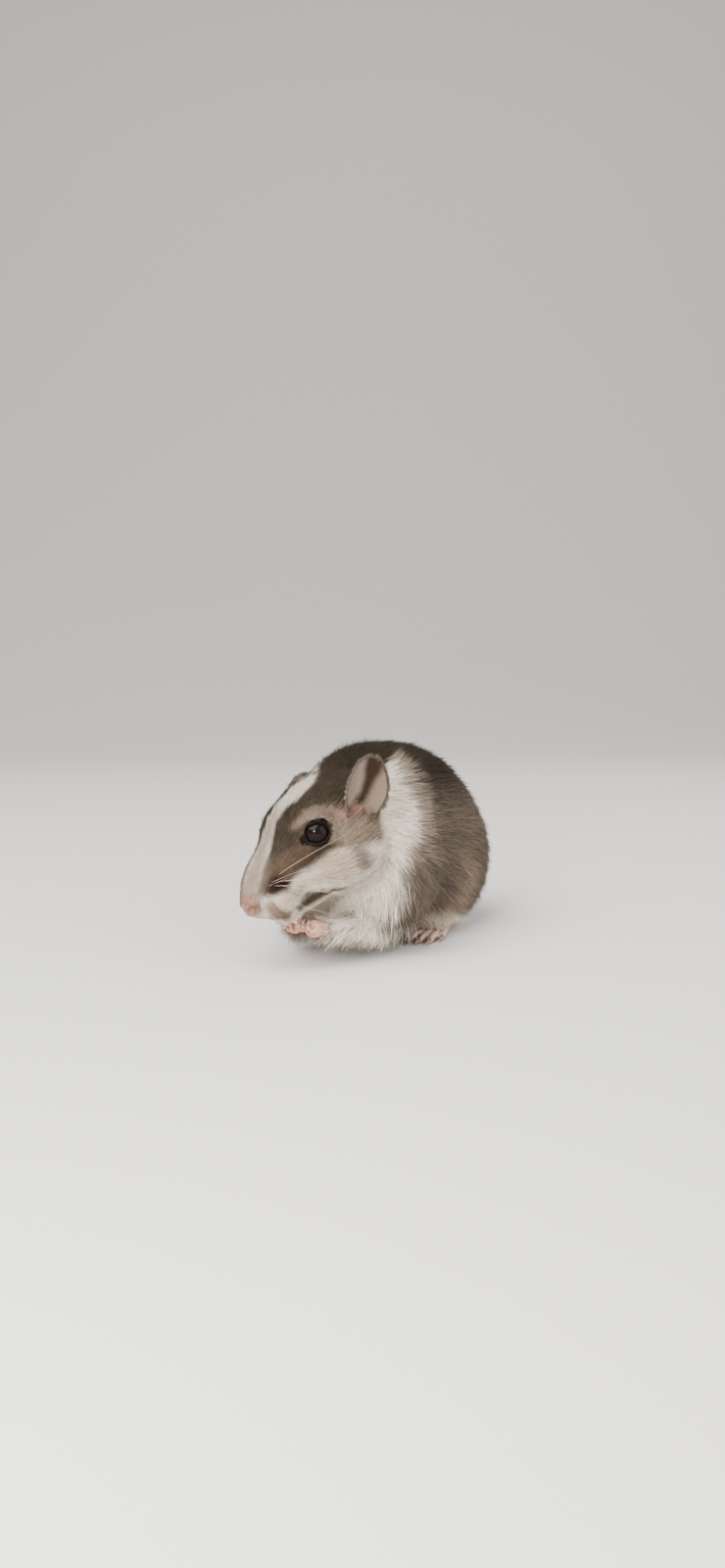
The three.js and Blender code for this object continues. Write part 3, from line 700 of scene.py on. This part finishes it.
# %% Ticking, as a node group
def ticking_group():
    group = bpy.data.node_groups.new("ticking", "ShaderNodeTree")
    for label, kind in (("Colour", "Color"), ("Scale", "Float"), ("Amount", "Float")):
        group.interface.new_socket(name=label, in_out="INPUT", socket_type=f"NodeSocket{kind}")
    group.interface.new_socket(name="Colour", in_out="OUTPUT", socket_type="NodeSocketColor")
    group.interface.new_socket(name="Height", in_out="OUTPUT", socket_type="NodeSocketFloat")
    make, wire = group.nodes.new, group.links.new
    inside, outside = make("NodeGroupInput"), make("NodeGroupOutput")
    place = make("ShaderNodeTexCoord")
    noise = make("ShaderNodeTexNoise")
    noise.inputs["Detail"].default_value = 3
    spread = make("ShaderNodeMapRange")
    spread.inputs["From Min"].default_value = 0.3
    spread.inputs["From Max"].default_value = 0.7
    spread.inputs["To Min"].default_value = -1
    lift = make("ShaderNodeMath")
    lift.operation = "MULTIPLY_ADD"
    lift.inputs[2].default_value = 1
    scale = make("ShaderNodeVectorMath")
    scale.operation = "SCALE"
    wire(place.outputs["Object"], noise.inputs["Vector"])
    wire(inside.outputs["Scale"], noise.inputs["Scale"])
    wire(noise.outputs["Fac"], spread.inputs["Value"])
    wire(spread.outputs["Result"], lift.inputs[0])
    wire(inside.outputs["Amount"], lift.inputs[1])
    wire(inside.outputs["Colour"], scale.inputs[0])
    wire(lift.outputs[0], scale.inputs["Scale"])
    wire(scale.outputs["Vector"], outside.inputs["Colour"])
    wire(noise.outputs["Fac"], outside.inputs["Height"])
    return group


ticking = ticking_group()


# %% Materials, plain ones and ones that read the markings and the painted shade and light
def plain_material(name, **sockets):
    """The shader's sockets are given by their names, with _ for a space."""
    material = bpy.data.materials.new(name)
    material.use_nodes = True
    for label, value in sockets.items():
        shader = material.node_tree.nodes["Principled BSDF"]
        shader.inputs[label.replace("_", " ")].default_value = value
    return material


def marked_material(name, scale, amount, bump, **sockets):
    material = plain_material(name, **sockets)
    tree_nodes, wire = material.node_tree.nodes, material.node_tree.links.new
    shader = tree_nodes["Principled BSDF"]
    attribute = tree_nodes.new("ShaderNodeAttribute")
    attribute.attribute_name = "markings_and_shading"
    ticks = tree_nodes.new("ShaderNodeGroup")
    ticks.node_tree = ticking
    ticks.inputs["Scale"].default_value = scale
    ticks.inputs["Amount"].default_value = amount
    wire(attribute.outputs["Color"], ticks.inputs["Colour"])
    wire(ticks.outputs["Colour"], shader.inputs["Base Color"])
    if bump:
        relief = tree_nodes.new("ShaderNodeBump")
        relief.inputs["Strength"].default_value = bump
        relief.inputs["Distance"].default_value = 0.1 * MM
        wire(ticks.outputs["Height"], relief.inputs["Height"])
        wire(relief.outputs["Normal"], shader.inputs["Normal"])
    return material


fur = marked_material("fur", 1100, 0.12, 0, Roughness=0.8, Specular_IOR_Level=0.06)
horn = marked_material("horn", 900, 0.1, 0, Roughness=0.35)
flesh = marked_material("flesh", 1800, 0.08, 0.5, Roughness=0.5, Specular_IOR_Level=0.06,
                        Subsurface_Weight=0.1, Subsurface_Scale=0.5 * MM)


def store_markings_and_shading(piece, colours):
    attribute = piece.data.color_attributes.new("markings_and_shading", "FLOAT_COLOR", "POINT")
    flat = np.ones((len(colours), 4))
    flat[:, :3] = np.clip(colours, 0, 1)
    attribute.data.foreach_set("color", flat.ravel())


store_markings_and_shading(skin, skin_colour)
skin.data.materials.append(flesh)
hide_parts(*[name for name in nodes if not name.startswith("eye_")])
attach(skin, "root")

# %% An unwrap of the skin, for the coat's own map
edit_whole(skin, bpy.ops.uv.smart_project, angle_limit=math.radians(66), island_margin=0.001)
unwrap = read_rows(skin.data.uv_layers.active.data, "uv", 2)

# %% [markdown]
# ## The lie of the coat
# Fur streams from the nose over the head, back along the body and down the limbs. Each part gets one
# plain direction, the directions are averaged over the net, and what points through the skin is
# taken off, so that every tuft lies along the surface it grows from.

# %% Directions
DOWN_AND_BACK = {"torso": (0, 1, -0.3), "thigh": (0, 0.92, -0.5), "neck": (0, 0.75, -0.6),
                 "upper_arm": (0, 0.5, -0.85), "hind_foot": (0, -1, 0)}
lie = np.tile(np.array((0.0, 1.0, -0.3)), (len(net), 1))
for start, way in DOWN_AND_BACK.items():
    lie[is_part(start)] = unit(np.array(way))
streaming = (head - NOSE + np.array((0, 0, 1.5))) @ HEAD_ROWS.T
lie[on_head_part] = unit(streaming)[on_head_part]
chest = is_part("torso", "neck") & (body[:, 1] < -14) & (body[:, 2] < 23)
lie[chest] = unit(np.array((0, 0.25, -1.0)))
for name in SIDE_NAMES:
    along_arm = hand_axes(name)[1][0]
    lie[is_part("forearm_" + name)] = unit(along_arm + np.array((0, 0, -0.9)))
    lie[is_part("hand_" + name)] = along_arm
for side, name in ((1, "ear_left"), (-1, "ear_right")):
    lie[is_part(name)] = HEAD_ROWS @ np.array(EAR_TIP[side])
tail_path = np.array([station[:3] for station in TAIL_STATIONS], dtype=float)
step = np.searchsorted(tail_path[:, 1], np.clip(body[:, 1], 24.1, 127.9)) - 1
tail_way = unit(tail_path[step + 1] - tail_path[step])
lie[is_part("tail")] = tail_way[is_part("tail")]
lie = averaged(unit(lie), 40)
agreement = np.linalg.norm(lie, axis=1)
AWAY_FROM_EYE = 1.6
from_eye = unit(mirrored(head) - np.array(EYE_AT))
from_eye[:, 0] *= np.where(head[:, 0] > 0, 1, -1)
near_eye = AWAY_FROM_EYE * (1 - blend(LID_BARE_TO, 3, eye_gap)) * on_head_part
lie = lie + from_eye @ HEAD_ROWS.T * near_eye[:, None]
lie = lie - normal * (lie * normal).sum(1, keepdims=True)
end_face = is_part("forearm") & (np.linalg.norm(lie, axis=1) < 0.5)
lie = unit(lie)

# %% Lengths, widths and densities: short fur where directions disagree, none on the arms' end faces
CHEST_LENGTH = 6.6
length, width, density = coat_field(1), coat_field(2), coat_field(3)
length[on_head_part] = across_face(head, 0.9, 4.2, 34)[on_head_part]
width[on_head_part] = across_face(head, 0.11, 0.19)[on_head_part]
density[on_head_part] = across_face(head, 24, 11)[on_head_part]
length[chest] = CHEST_LENGTH
for name in SIDE_NAMES:
    hand, axes = hand_axes(name)
    along_hand = (body - hand) @ axes[0]
    wrist = is_part("hand_" + name) * (1 - blend(-2.2, -0.4, along_hand))
    length, width, density = length + 2.2 * wrist, width + 0.07 * wrist, density + 8 * wrist
    density[is_part("hand_" + name) & (along_hand > KNUCKLES[0])] = 1.5
tail_root = is_part("tail") * (1 - blend(30, 46, body[:, 1]))
length, width = length + 2.2 * tail_root, width + 0.04 * tail_root
brush = is_part("tail") * blend(80, 112, body[:, 1])
length, density = length + 7 * brush, density + 5 * brush
beside_far_ear = stroke(head, FAR_EAR, 2) * ~is_part("ear")
length = length * (1 - 0.7 * beside_far_ear) * (0.4 + 0.6 * blend(0.35, 0.75, agreement))
length, width, density = averaged(length, 20), averaged(width, 10), averaged(density, 10)
length = np.where(on_head_part, length * (0.35 + 0.65 * blend(0.6, 3.4, eye_gap)), length)
bald_nose = stroke(head, [(-1, -16.6, -7.6, 1.1), (1, -16.6, -7.6, 1.1)], 0.4)
bare = on_head_part & ((rim > 0.6) | (opening < 3) | (bald_nose > 0.5) | (crease_share(head) > 0.4))
density[bare | end_face] = 0
# how much of the coat's usual lift the tufts of a part have
FLAT_LYING = {"ear": 0.35, "hand": 0.4, "hind_foot": 0.5, "forearm": 0.6, "head": 0.85}
flatness = np.ones(len(net))
for start, value in FLAT_LYING.items():
    flatness[is_part(start)] = value
flatness[chest] = 0.7
flatness -= 0.45 * tail_root
flatness = averaged(flatness, 20)
print("tuft length:", round(length.min(), 1), "to", round(length.max(), 1), "mm")

# %% [markdown]
# ## Growing tufts
# Hair curves would be lost on export, so each tuft is a thin closed spike: rings of three corners that
# bend along the lie and meet at a tip. All tufts of one region are one mesh, made from arrays in one
# go. Slow waves bend and gather them, so that the coat breaks into soft locks.

# %% Slow waves, used to gather and vary the fur
SEED = 7
waves = np.random.default_rng(SEED)


def wave_set(count, wavelength):
    """Plane waves of mixed directions, with wavelengths round the one given, in millimetres."""
    ways = unit(waves.normal(size=(count, 3)))
    lengths = wavelength * waves.uniform(0.7, 1.5, (count, 1))
    return ways * (2 * math.pi / lengths), waves.uniform(0, 6.3, count)


def wave_value(points, wave):
    return np.cos(points @ wave[0].T + wave[1]).mean(1) * 1.5


def wave_slope(points, wave):
    return -np.sin(points @ wave[0].T + wave[1]) @ wave[0] / len(wave[1])


LOCKS, DRIFT, SHADES, CLOUDS = wave_set(9, 2.6), wave_set(6, 14), wave_set(7, 2.4), wave_set(6, 9)


# %% Spikes: rings of corners round a spine that meet at a tip
def spikes(name, spines, across, up, widths, sides, colours, material, softness=0.0):
    """spines: (count, rings + 1, 3) in millimetres, widths: (count, rings), colours as spines."""
    count, rings = len(spines), spines.shape[1] - 1
    per_spike = rings * sides + 1
    corners = np.empty((count, per_spike, 3))
    facing = np.empty((count, per_spike, 3))
    shade = np.empty((count, per_spike, 3))
    for k in range(sides):
        angle = 2 * math.pi * k / sides - math.pi / 2
        out = across * math.cos(angle) + up * math.sin(angle)
        for ring in range(rings):
            at = ring * sides + k
            corners[:, at] = spines[:, ring] + out * (widths[:, ring] / 2)[:, None]
            facing[:, at] = unit(out * (1 - softness) + up * softness) if k else out
            shade[:, at] = colours[:, ring]
    corners[:, -1], facing[:, -1], shade[:, -1] = spines[:, -1], up, colours[:, -1]
    faces = [[0, k + 1, k] for k in range(1, sides - 1)]
    for ring in range(rings - 1):
        for k in range(sides):
            a, b = ring * sides + k, ring * sides + (k + 1) % sides
            faces += [[a, b, b + sides], [a, b + sides, a + sides]]
    top = (rings - 1) * sides
    faces += [[top + k, top + (k + 1) % sides, rings * sides] for k in range(sides)]
    loops = (np.array(faces)[None] + (np.arange(count) * per_spike)[:, None, None]).ravel()
    mesh = bpy.data.meshes.new(name)
    mesh.vertices.add(count * per_spike)
    mesh.vertices.foreach_set("co", (corners * MM).ravel())
    mesh.loops.add(len(loops))
    mesh.loops.foreach_set("vertex_index", loops)
    mesh.polygons.add(len(loops) // 3)
    mesh.polygons.foreach_set("loop_start", np.arange(0, len(loops), 3))
    mesh.polygons.foreach_set("use_smooth", np.ones(len(loops) // 3, dtype=bool))
    mesh.update(calc_edges=True)
    if softness:
        mesh.normals_split_custom_set_from_vertices(facing.reshape(-1, 3))
    piece = bpy.data.objects.new(name, mesh)
    bpy.context.scene.collection.objects.link(piece)
    store_markings_and_shading(piece, shade.reshape(-1, 3))
    mesh.materials.append(material)
    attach(piece, "root")
    print(name, count, "spikes,", len(loops) // 3, "triangles")
    return piece, loops


# %% Scatter roots over the skin
skin.data.calc_loop_triangles()
triangles = read_rows(skin.data.loop_triangles, "vertices", 3, np.int64)
triangle_unwrap = unwrap[read_rows(skin.data.loop_triangles, "loops", 3, np.int64)]
corner_a, corner_b, corner_c = net[triangles[:, 0]], net[triangles[:, 1]], net[triangles[:, 2]]
area = np.linalg.norm(np.cross(corner_b - corner_a, corner_c - corner_a), axis=1) / 2 / MM**2
wanted = area * density[triangles].mean(1)
COAT_SHARE = 1.0


def scatter(chosen, share, rng):
    """Roots spread by density over the chosen triangles: their numbers, and weights of the corners."""
    numbers = np.flatnonzero(chosen)
    steps = np.cumsum(wanted[numbers])
    count = int(steps[-1] * share * COAT_SHARE)
    at = (np.arange(count) + rng.uniform(0, 1, count)) * steps[-1] / count
    triangle = numbers[np.minimum(np.searchsorted(steps, at), len(numbers) - 1)]
    u, v = rng.uniform(0, 1, (2, count))
    flip = u + v > 1
    u, v = np.where(flip, 1 - u, u), np.where(flip, 1 - v, v)
    return triangle, np.stack([1 - u - v, u, v], 1)


def mixed(field, face, weights):
    return np.einsum("ij,ij...->i...", weights, field[face])


# %% The coat's own map: each tuft keeps a small patch where its root lies on the skin's unwrap
PATCH = 0.003
SIDES = 3


def patch_map(piece, loops, spot, rings):
    spot = spot * (1 - PATCH)
    offset = np.zeros((rings * SIDES + 1, 2))
    offset[:-1, 0] = (np.arange(rings * SIDES) % SIDES) / SIDES * PATCH
    offset[:-1, 1] = np.repeat(np.arange(rings), SIDES) / rings * PATCH
    offset[-1] = (PATCH / 2, PATCH)
    coordinates = (spot[:, None] + offset[None]).reshape(-1, 2)
    layer = piece.data.uv_layers.new(name="OFBake")
    layer.data.foreach_set("uv", coordinates[loops].astype(np.float32).ravel())


# %% Tufts of one region
ABOVE_FLOOR = 0.16
ROOT_SUNK = 0.12
STRAY, FOLLOW_DRIFT, UNEVEN = 0.13, 0.25, 0.09
GATHER, LOCKS_LONGER = 0.135, 0.15
SPREAD = (0.7, 1.3)
SEEN_ALONG = 0.6
VARIED, CLOUDED, DARK_HAIRS, DARK_HAIR = 0.06, 0.07, 0.1, 0.6
# brightness along a tuft from root to tip: the hair's own lighter tip, and painted shade at the root deep
# in the coat
FADE_AND_ROOT_SHADE = {0.0: 0.74, 0.5: 1.0, 1.0: 1.1}
# an even layer of straight fine tufts, and fewer, longer ones that bend down to the coat: stations and
# thickness along them, shares of the density and the length, slopes of root and tip in radians
LAYERS = {
    "under": ((0.0, 1.0), (1.0,), 2.3, 0.92, 0.2, 0.14),
    "over": ((0.0, 0.5, 1.0), (1.0, 0.8), 0.42, 1.05, 0.36, -0.1),
}


def grow(name, chosen, layer, softness, seed):
    rng = np.random.default_rng(seed)
    stations, thickness, share, fullness, rise, fall = LAYERS[layer]
    triangle, weights = scatter(chosen, share, rng)
    face, count = triangles[triangle], len(triangle)
    root = mixed(net, face, weights)
    up = unit(mixed(normal, face, weights))
    place = root / MM
    ahead = mixed(lie, face, weights) + rng.normal(0, STRAY, (count, 3))
    ahead += FOLLOW_DRIFT * wave_slope(place, DRIFT)
    ahead = unit(ahead - up * (ahead * up).sum(1, keepdims=True))
    across = np.cross(up, ahead)
    long = mixed(length, face, weights) * fullness * rng.uniform(*SPREAD, count)
    long *= 1 + LOCKS_LONGER * wave_value(place, LOCKS)
    flat = mixed(flatness, face, weights)
    start = rise * flat + rng.normal(0, UNEVEN, count) * flat
    bend = fall * flat - rise * flat
    gather = GATHER * wave_slope(place, LOCKS)
    gather -= up * (gather * up).sum(1, keepdims=True)
    spines = []
    for t in stations:
        run = (np.sin(start + bend * t) - np.sin(start)) / bend * long
        lift = (np.cos(start) - np.cos(start + bend * t)) / bend * long - ROOT_SUNK
        pulled = gather * (t * t * long)[:, None]
        spines.append(place + ahead * run[:, None] + up * lift[:, None] + pulled)
    spines = np.stack(spines, 1)
    spines[..., 2] = np.maximum(spines[..., 2], ABOVE_FLOOR)
    wide = mixed(width, face, weights) * rng.uniform(*SPREAD, count)
    widths = wide[:, None] * np.array(thickness)

    seen_at = root + (ahead * (SEEN_ALONG * long)[:, None] + up * mixed(depth, face, weights)[:, None]) * MM
    shade = markings_and_shading(seen_at, owner[face[np.arange(count), weights.argmax(1)]])
    greyness = 1 - blend(0.2, 0.5, shade.mean(1))
    brightness = rng.normal(1, VARIED * (1 + greyness)) + VARIED * wave_value(place, SHADES)
    brightness += CLOUDED * wave_value(place, CLOUDS)
    brightness[rng.uniform(0, 1, count) < DARK_HAIRS * greyness] *= DARK_HAIR
    shade = shade * np.clip(brightness, 0.35, 1.5)[:, None]
    colours = np.stack([shade * FADE_AND_ROOT_SHADE[t] for t in stations], 1)
    piece, loops = spikes(name, spines, across, up, widths, SIDES, colours, fur, softness)
    patch_map(piece, loops, mixed(triangle_unwrap, triangle, weights), len(thickness))


# %% The coat, region by region: which triangles, which slot, and how far the shading leans to the skin's
face_owner = owner[triangles[:, 0]]
face_body = body[triangles].mean(1)
face_head = head[triangles].mean(1)


def face_part(*starts):
    return is_part(*starts, of=face_owner)


LENGTH_CUTS = (-60, -9, 3, 14, 60)
FACE_FROM = -1.5
FIRST_UNDER, FIRST_OVER = 20, 50
regions = []
trunk = face_part("torso", "thigh", "upper_arm")
for number, (low, high) in enumerate(zip(LENGTH_CUTS[:-1], LENGTH_CUTS[1:])):
    between = trunk & (face_body[:, 1] >= low) & (face_body[:, 1] < high)
    regions.append((f"trunk_{number}", between, "grey_fur", 0.6))
before_eyes = face_head[:, 1] < FACE_FROM
regions += [
    ("face", face_part("head") & before_eyes, "grey_fur", 0.6),
    ("head", face_part("head") & ~before_eyes, "grey_fur", 0.6),
    ("neck", face_part("neck"), "white_fur", 0.5),
    ("forearms", face_part("forearm"), "white_fur", 0.35),
    ("feet", face_part("hand", "hind_foot"), "bare_skin", 0.2),
    ("ears", face_part("ear"), "ear_skin", 0.15),
    ("tail", face_part("tail"), "grey_fur", 0.4),
]
for seed, (name, chosen, slot, softness) in enumerate(regions):
    grow(f"{name}_fur", chosen, "under", softness, FIRST_UNDER + seed)
    grow(f"{name}_guard_hair", chosen, "over", softness, FIRST_OVER + seed)

# %% [markdown]
# ## Whiskers and claws
# Whiskers sweep back from the pads of the muzzle, longest at the back. Claws sit at the ends of the
# toes and fingers. Both are spikes too, only rounder and longer.

# %% Whiskers
WHISKER_ROWS, WHISKERS_IN_ROW = 4, 5
WHISKER_STATIONS = np.linspace(0, 1, 8)
WHISKER_SHORTEST, WHISKER_LONGER, WHISKER_WIDTH = 9, 2.6, 0.08
WHISKER_SEED = 5


def whisker_spines(rng):
    spines, ups = [], []
    for side in (1, -1):
        for row in range(WHISKER_ROWS):
            for place in range(WHISKERS_IN_ROW):
                towards = (side * 8, -15 + 1.7 * place, -3.6 - 1.5 * row + 0.4 * place)
                root = on_face((side, -11, -6.4), towards)
                long = (WHISKER_SHORTEST + WHISKER_LONGER * place) * rng.uniform(0.85, 1.15)
                start = np.array((side, -0.35 + 0.16 * place, 0.3 - 0.24 * row)) + rng.normal(0, 0.06, 3)
                start = unit(start)
                sweep = np.array((-side * 0.25, 0.85, -0.25 - 0.05 * row))
                points = [root + long * (start * t + sweep * 0.5 * t * t) for t in WHISKER_STATIONS]
                spines.append(points)
                ups.append(np.cross(start, (0, 1, 0)))
    placed = np.array(spines) @ HEAD_ROWS.T + np.array(head_origin) / MM
    return placed, unit(np.array(ups) @ HEAD_ROWS.T)


def lone_spikes(name, spines, up, widths, sides, shades, material):
    across = unit(np.cross(up, unit(spines[:, -1] - spines[:, 0])))
    widths = np.tile(widths, (len(spines), 1))
    return spikes(name, spines, across, up, widths, sides, shades, material)[0]


spines, up = whisker_spines(np.random.default_rng(WHISKER_SEED))
taper = WHISKER_WIDTH * (1 - 0.8 * WHISKER_STATIONS[:-1])
shades = np.where(np.arange(len(spines))[:, None, None] % 3 == 0, TUFT_DARK, CREAM)
shades = np.tile(shades, (1, len(WHISKER_STATIONS), 1))
lone_spikes("whiskers", spines, up, taper, 4, shades, fur)

# %% Claws
TOE_ROOT, HEEL = np.array((11.8, 4.5, 1.3)), np.array((13.2, 24, 1.5))
TOES = ((-2.7, 6.2), (-1.4, 9.6), (0, 10.4), (1.4, 9.4), (2.8, 5.4))
CLAW_STATIONS = np.linspace(0, 1, 6)
CLAW_WIDTH = 0.85


def arched(start, top, end):
    """A curve through three places, as points at the claw's stations."""
    t = CLAW_STATIONS[:, None]
    control = 2 * top - (start + end) / 2
    return (1 - t) ** 2 * start + 2 * t * (1 - t) * control + t * t * end


def claw_spines():
    spines, ups = [], []
    for side, name in ((1, "left"), (-1, "right")):
        ahead = unit((TOE_ROOT - HEEL) * (side, 1, 0))
        across = np.array((ahead[1], -ahead[0], 0)) * -side
        for spread, toe in TOES:
            toe_line = TOE_ROOT * (side, 1, 0) + across * spread * (1 + toe / 22) * 1.12
            places = [toe_line + ahead * (toe + reach) + np.array((0, 0, high))
                      for reach, high in ((-0.5, 1.15), (1.0, 1.25), (2.2, 0.35))]
            spines.append(arched(*places))
            ups.append((0, 0, 1))
        hand, axes = hand_axes(name)
        for finger in (-1.5, -0.5, 0.5, 1.5):
            toe = 3.35 if abs(finger) > 1 else 3.7
            places = [hand + np.array((along, finger * FINGER_SPACING * 0.9, high)) @ axes
                      for along, high in ((toe, 1.2), (toe + 0.1, 1.9), (toe - 0.5, 2.6))]
            spines.append(arched(*places))
            ups.append(axes[0])
    return np.array(spines) + np.array(body_origin) / MM, np.array(ups, dtype=float)


spines, up = claw_spines()
taper = CLAW_WIDTH * (1 - 0.85 * CLAW_STATIONS[:-1])
shades = CLAW * (0.8 + 0.4 * CLAW_STATIONS[None, :, None]) * np.ones((len(spines), 1, 1))
lone_spikes("claws", spines, up, taper, 7, shades, horn)

# %% [markdown]
# ## Eyes
# A gerbil's eye is almost black, wet and strongly domed. The solids' eyeballs are coarse, so finer
# balls take their place exactly.

# %% Eyes
wet = plain_material("eye", Base_Color=(0.007, 0.004, 0.003, 1), Roughness=0.05, Specular_IOR_Level=0.1)
for name in SIDE_NAMES:
    low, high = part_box(f"eye_{name}")
    bpy.ops.mesh.primitive_uv_sphere_add(
        segments=64, ring_count=32, radius=EYE_RADIUS * MM, location=(low + high) / 2)
    ball = bpy.context.object
    ball.name = f"eyeball_{name}"
    bpy.ops.object.transform_apply()
    bpy.ops.object.shade_smooth()
    ball.data.materials.append(wet)
    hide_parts(f"eye_{name}")
    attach(ball, "root")

# %% [markdown]
# ## Floor and light
# The animal stands on a plain pale floor that curves up behind it. Large soft lamps light it, and one
# small lamp beside the camera puts a spark in the eye.

# %% Stage
BACKDROP_SIZE = 3
bpy.ops.mesh.primitive_plane_add(size=BACKDROP_SIZE, rotation=(0, 0, math.radians(CAMERA_AZIMUTH)))
floor = bpy.context.object
floor.name = "floor"
bpy.ops.object.transform_apply()
bpy.ops.object.mode_set(mode="EDIT")
bpy.ops.mesh.select_mode(type="EDGE")
bpy.ops.mesh.select_all(action="DESELECT")
bpy.ops.object.mode_set(mode="OBJECT")
corners = floor.data.vertices
far_edge = max(floor.data.edges, key=lambda edge: sum(corners[i].co @ away for i in edge.vertices))
far_edge.select = True
bpy.ops.object.mode_set(mode="EDIT")
bpy.ops.mesh.extrude_region_move(TRANSFORM_OT_translate={"value": (0, 0, BACKDROP_SIZE / 2)})
bpy.ops.object.mode_set(mode="OBJECT")
corners = floor.data.vertices
fold = [edge for edge in floor.data.edges
        if all(abs(corners[i].co.z) < SAME_PLACE and corners[i].co @ away > 0 for i in edge.vertices)]
for edge in floor.data.edges:
    edge.select = edge in fold
bpy.ops.object.mode_set(mode="EDIT")
bpy.ops.mesh.bevel(offset=0.9, segments=24)
bpy.ops.object.mode_set(mode="OBJECT")
bpy.ops.object.shade_smooth()
floor.data.materials.append(plain_material("paper", Base_Color=(0.72, 0.7, 0.67, 1), Roughness=0.9))

LAMPS = [
    ("key", -aside * 0.35 - away * 0.55 + Vector((0, 0, 0.75)), 0.9, 26),
    ("fill", aside * 0.8 - away * 0.5 + Vector((0, 0, 0.35)), 0.9, 7.5),
    ("rim", aside * 0.3 + away * 0.45 + Vector((0, 0, 0.5)), 0.4, 1.4),
    ("spark", camera.location - head_origin - aside * 0.07 + Vector((0, 0, 0.03)), 0.035, 0.5),
]
for name, place, size, power in LAMPS:
    bpy.ops.object.light_add(type="AREA", location=head_origin + place)
    lamp = bpy.context.object
    lamp.name = name
    lamp.data.size = size
    lamp.data.energy = power
    lamp.rotation_euler = (-place).to_track_quat("-Z", "Y").to_euler()
world = bpy.data.worlds.new("room")
bpy.context.scene.world = world
world.use_nodes = True
sky = world.node_tree.nodes["Background"]
sky.inputs["Color"].default_value = (1, 0.98, 0.95, 1)
sky.inputs["Strength"].default_value = 0.5
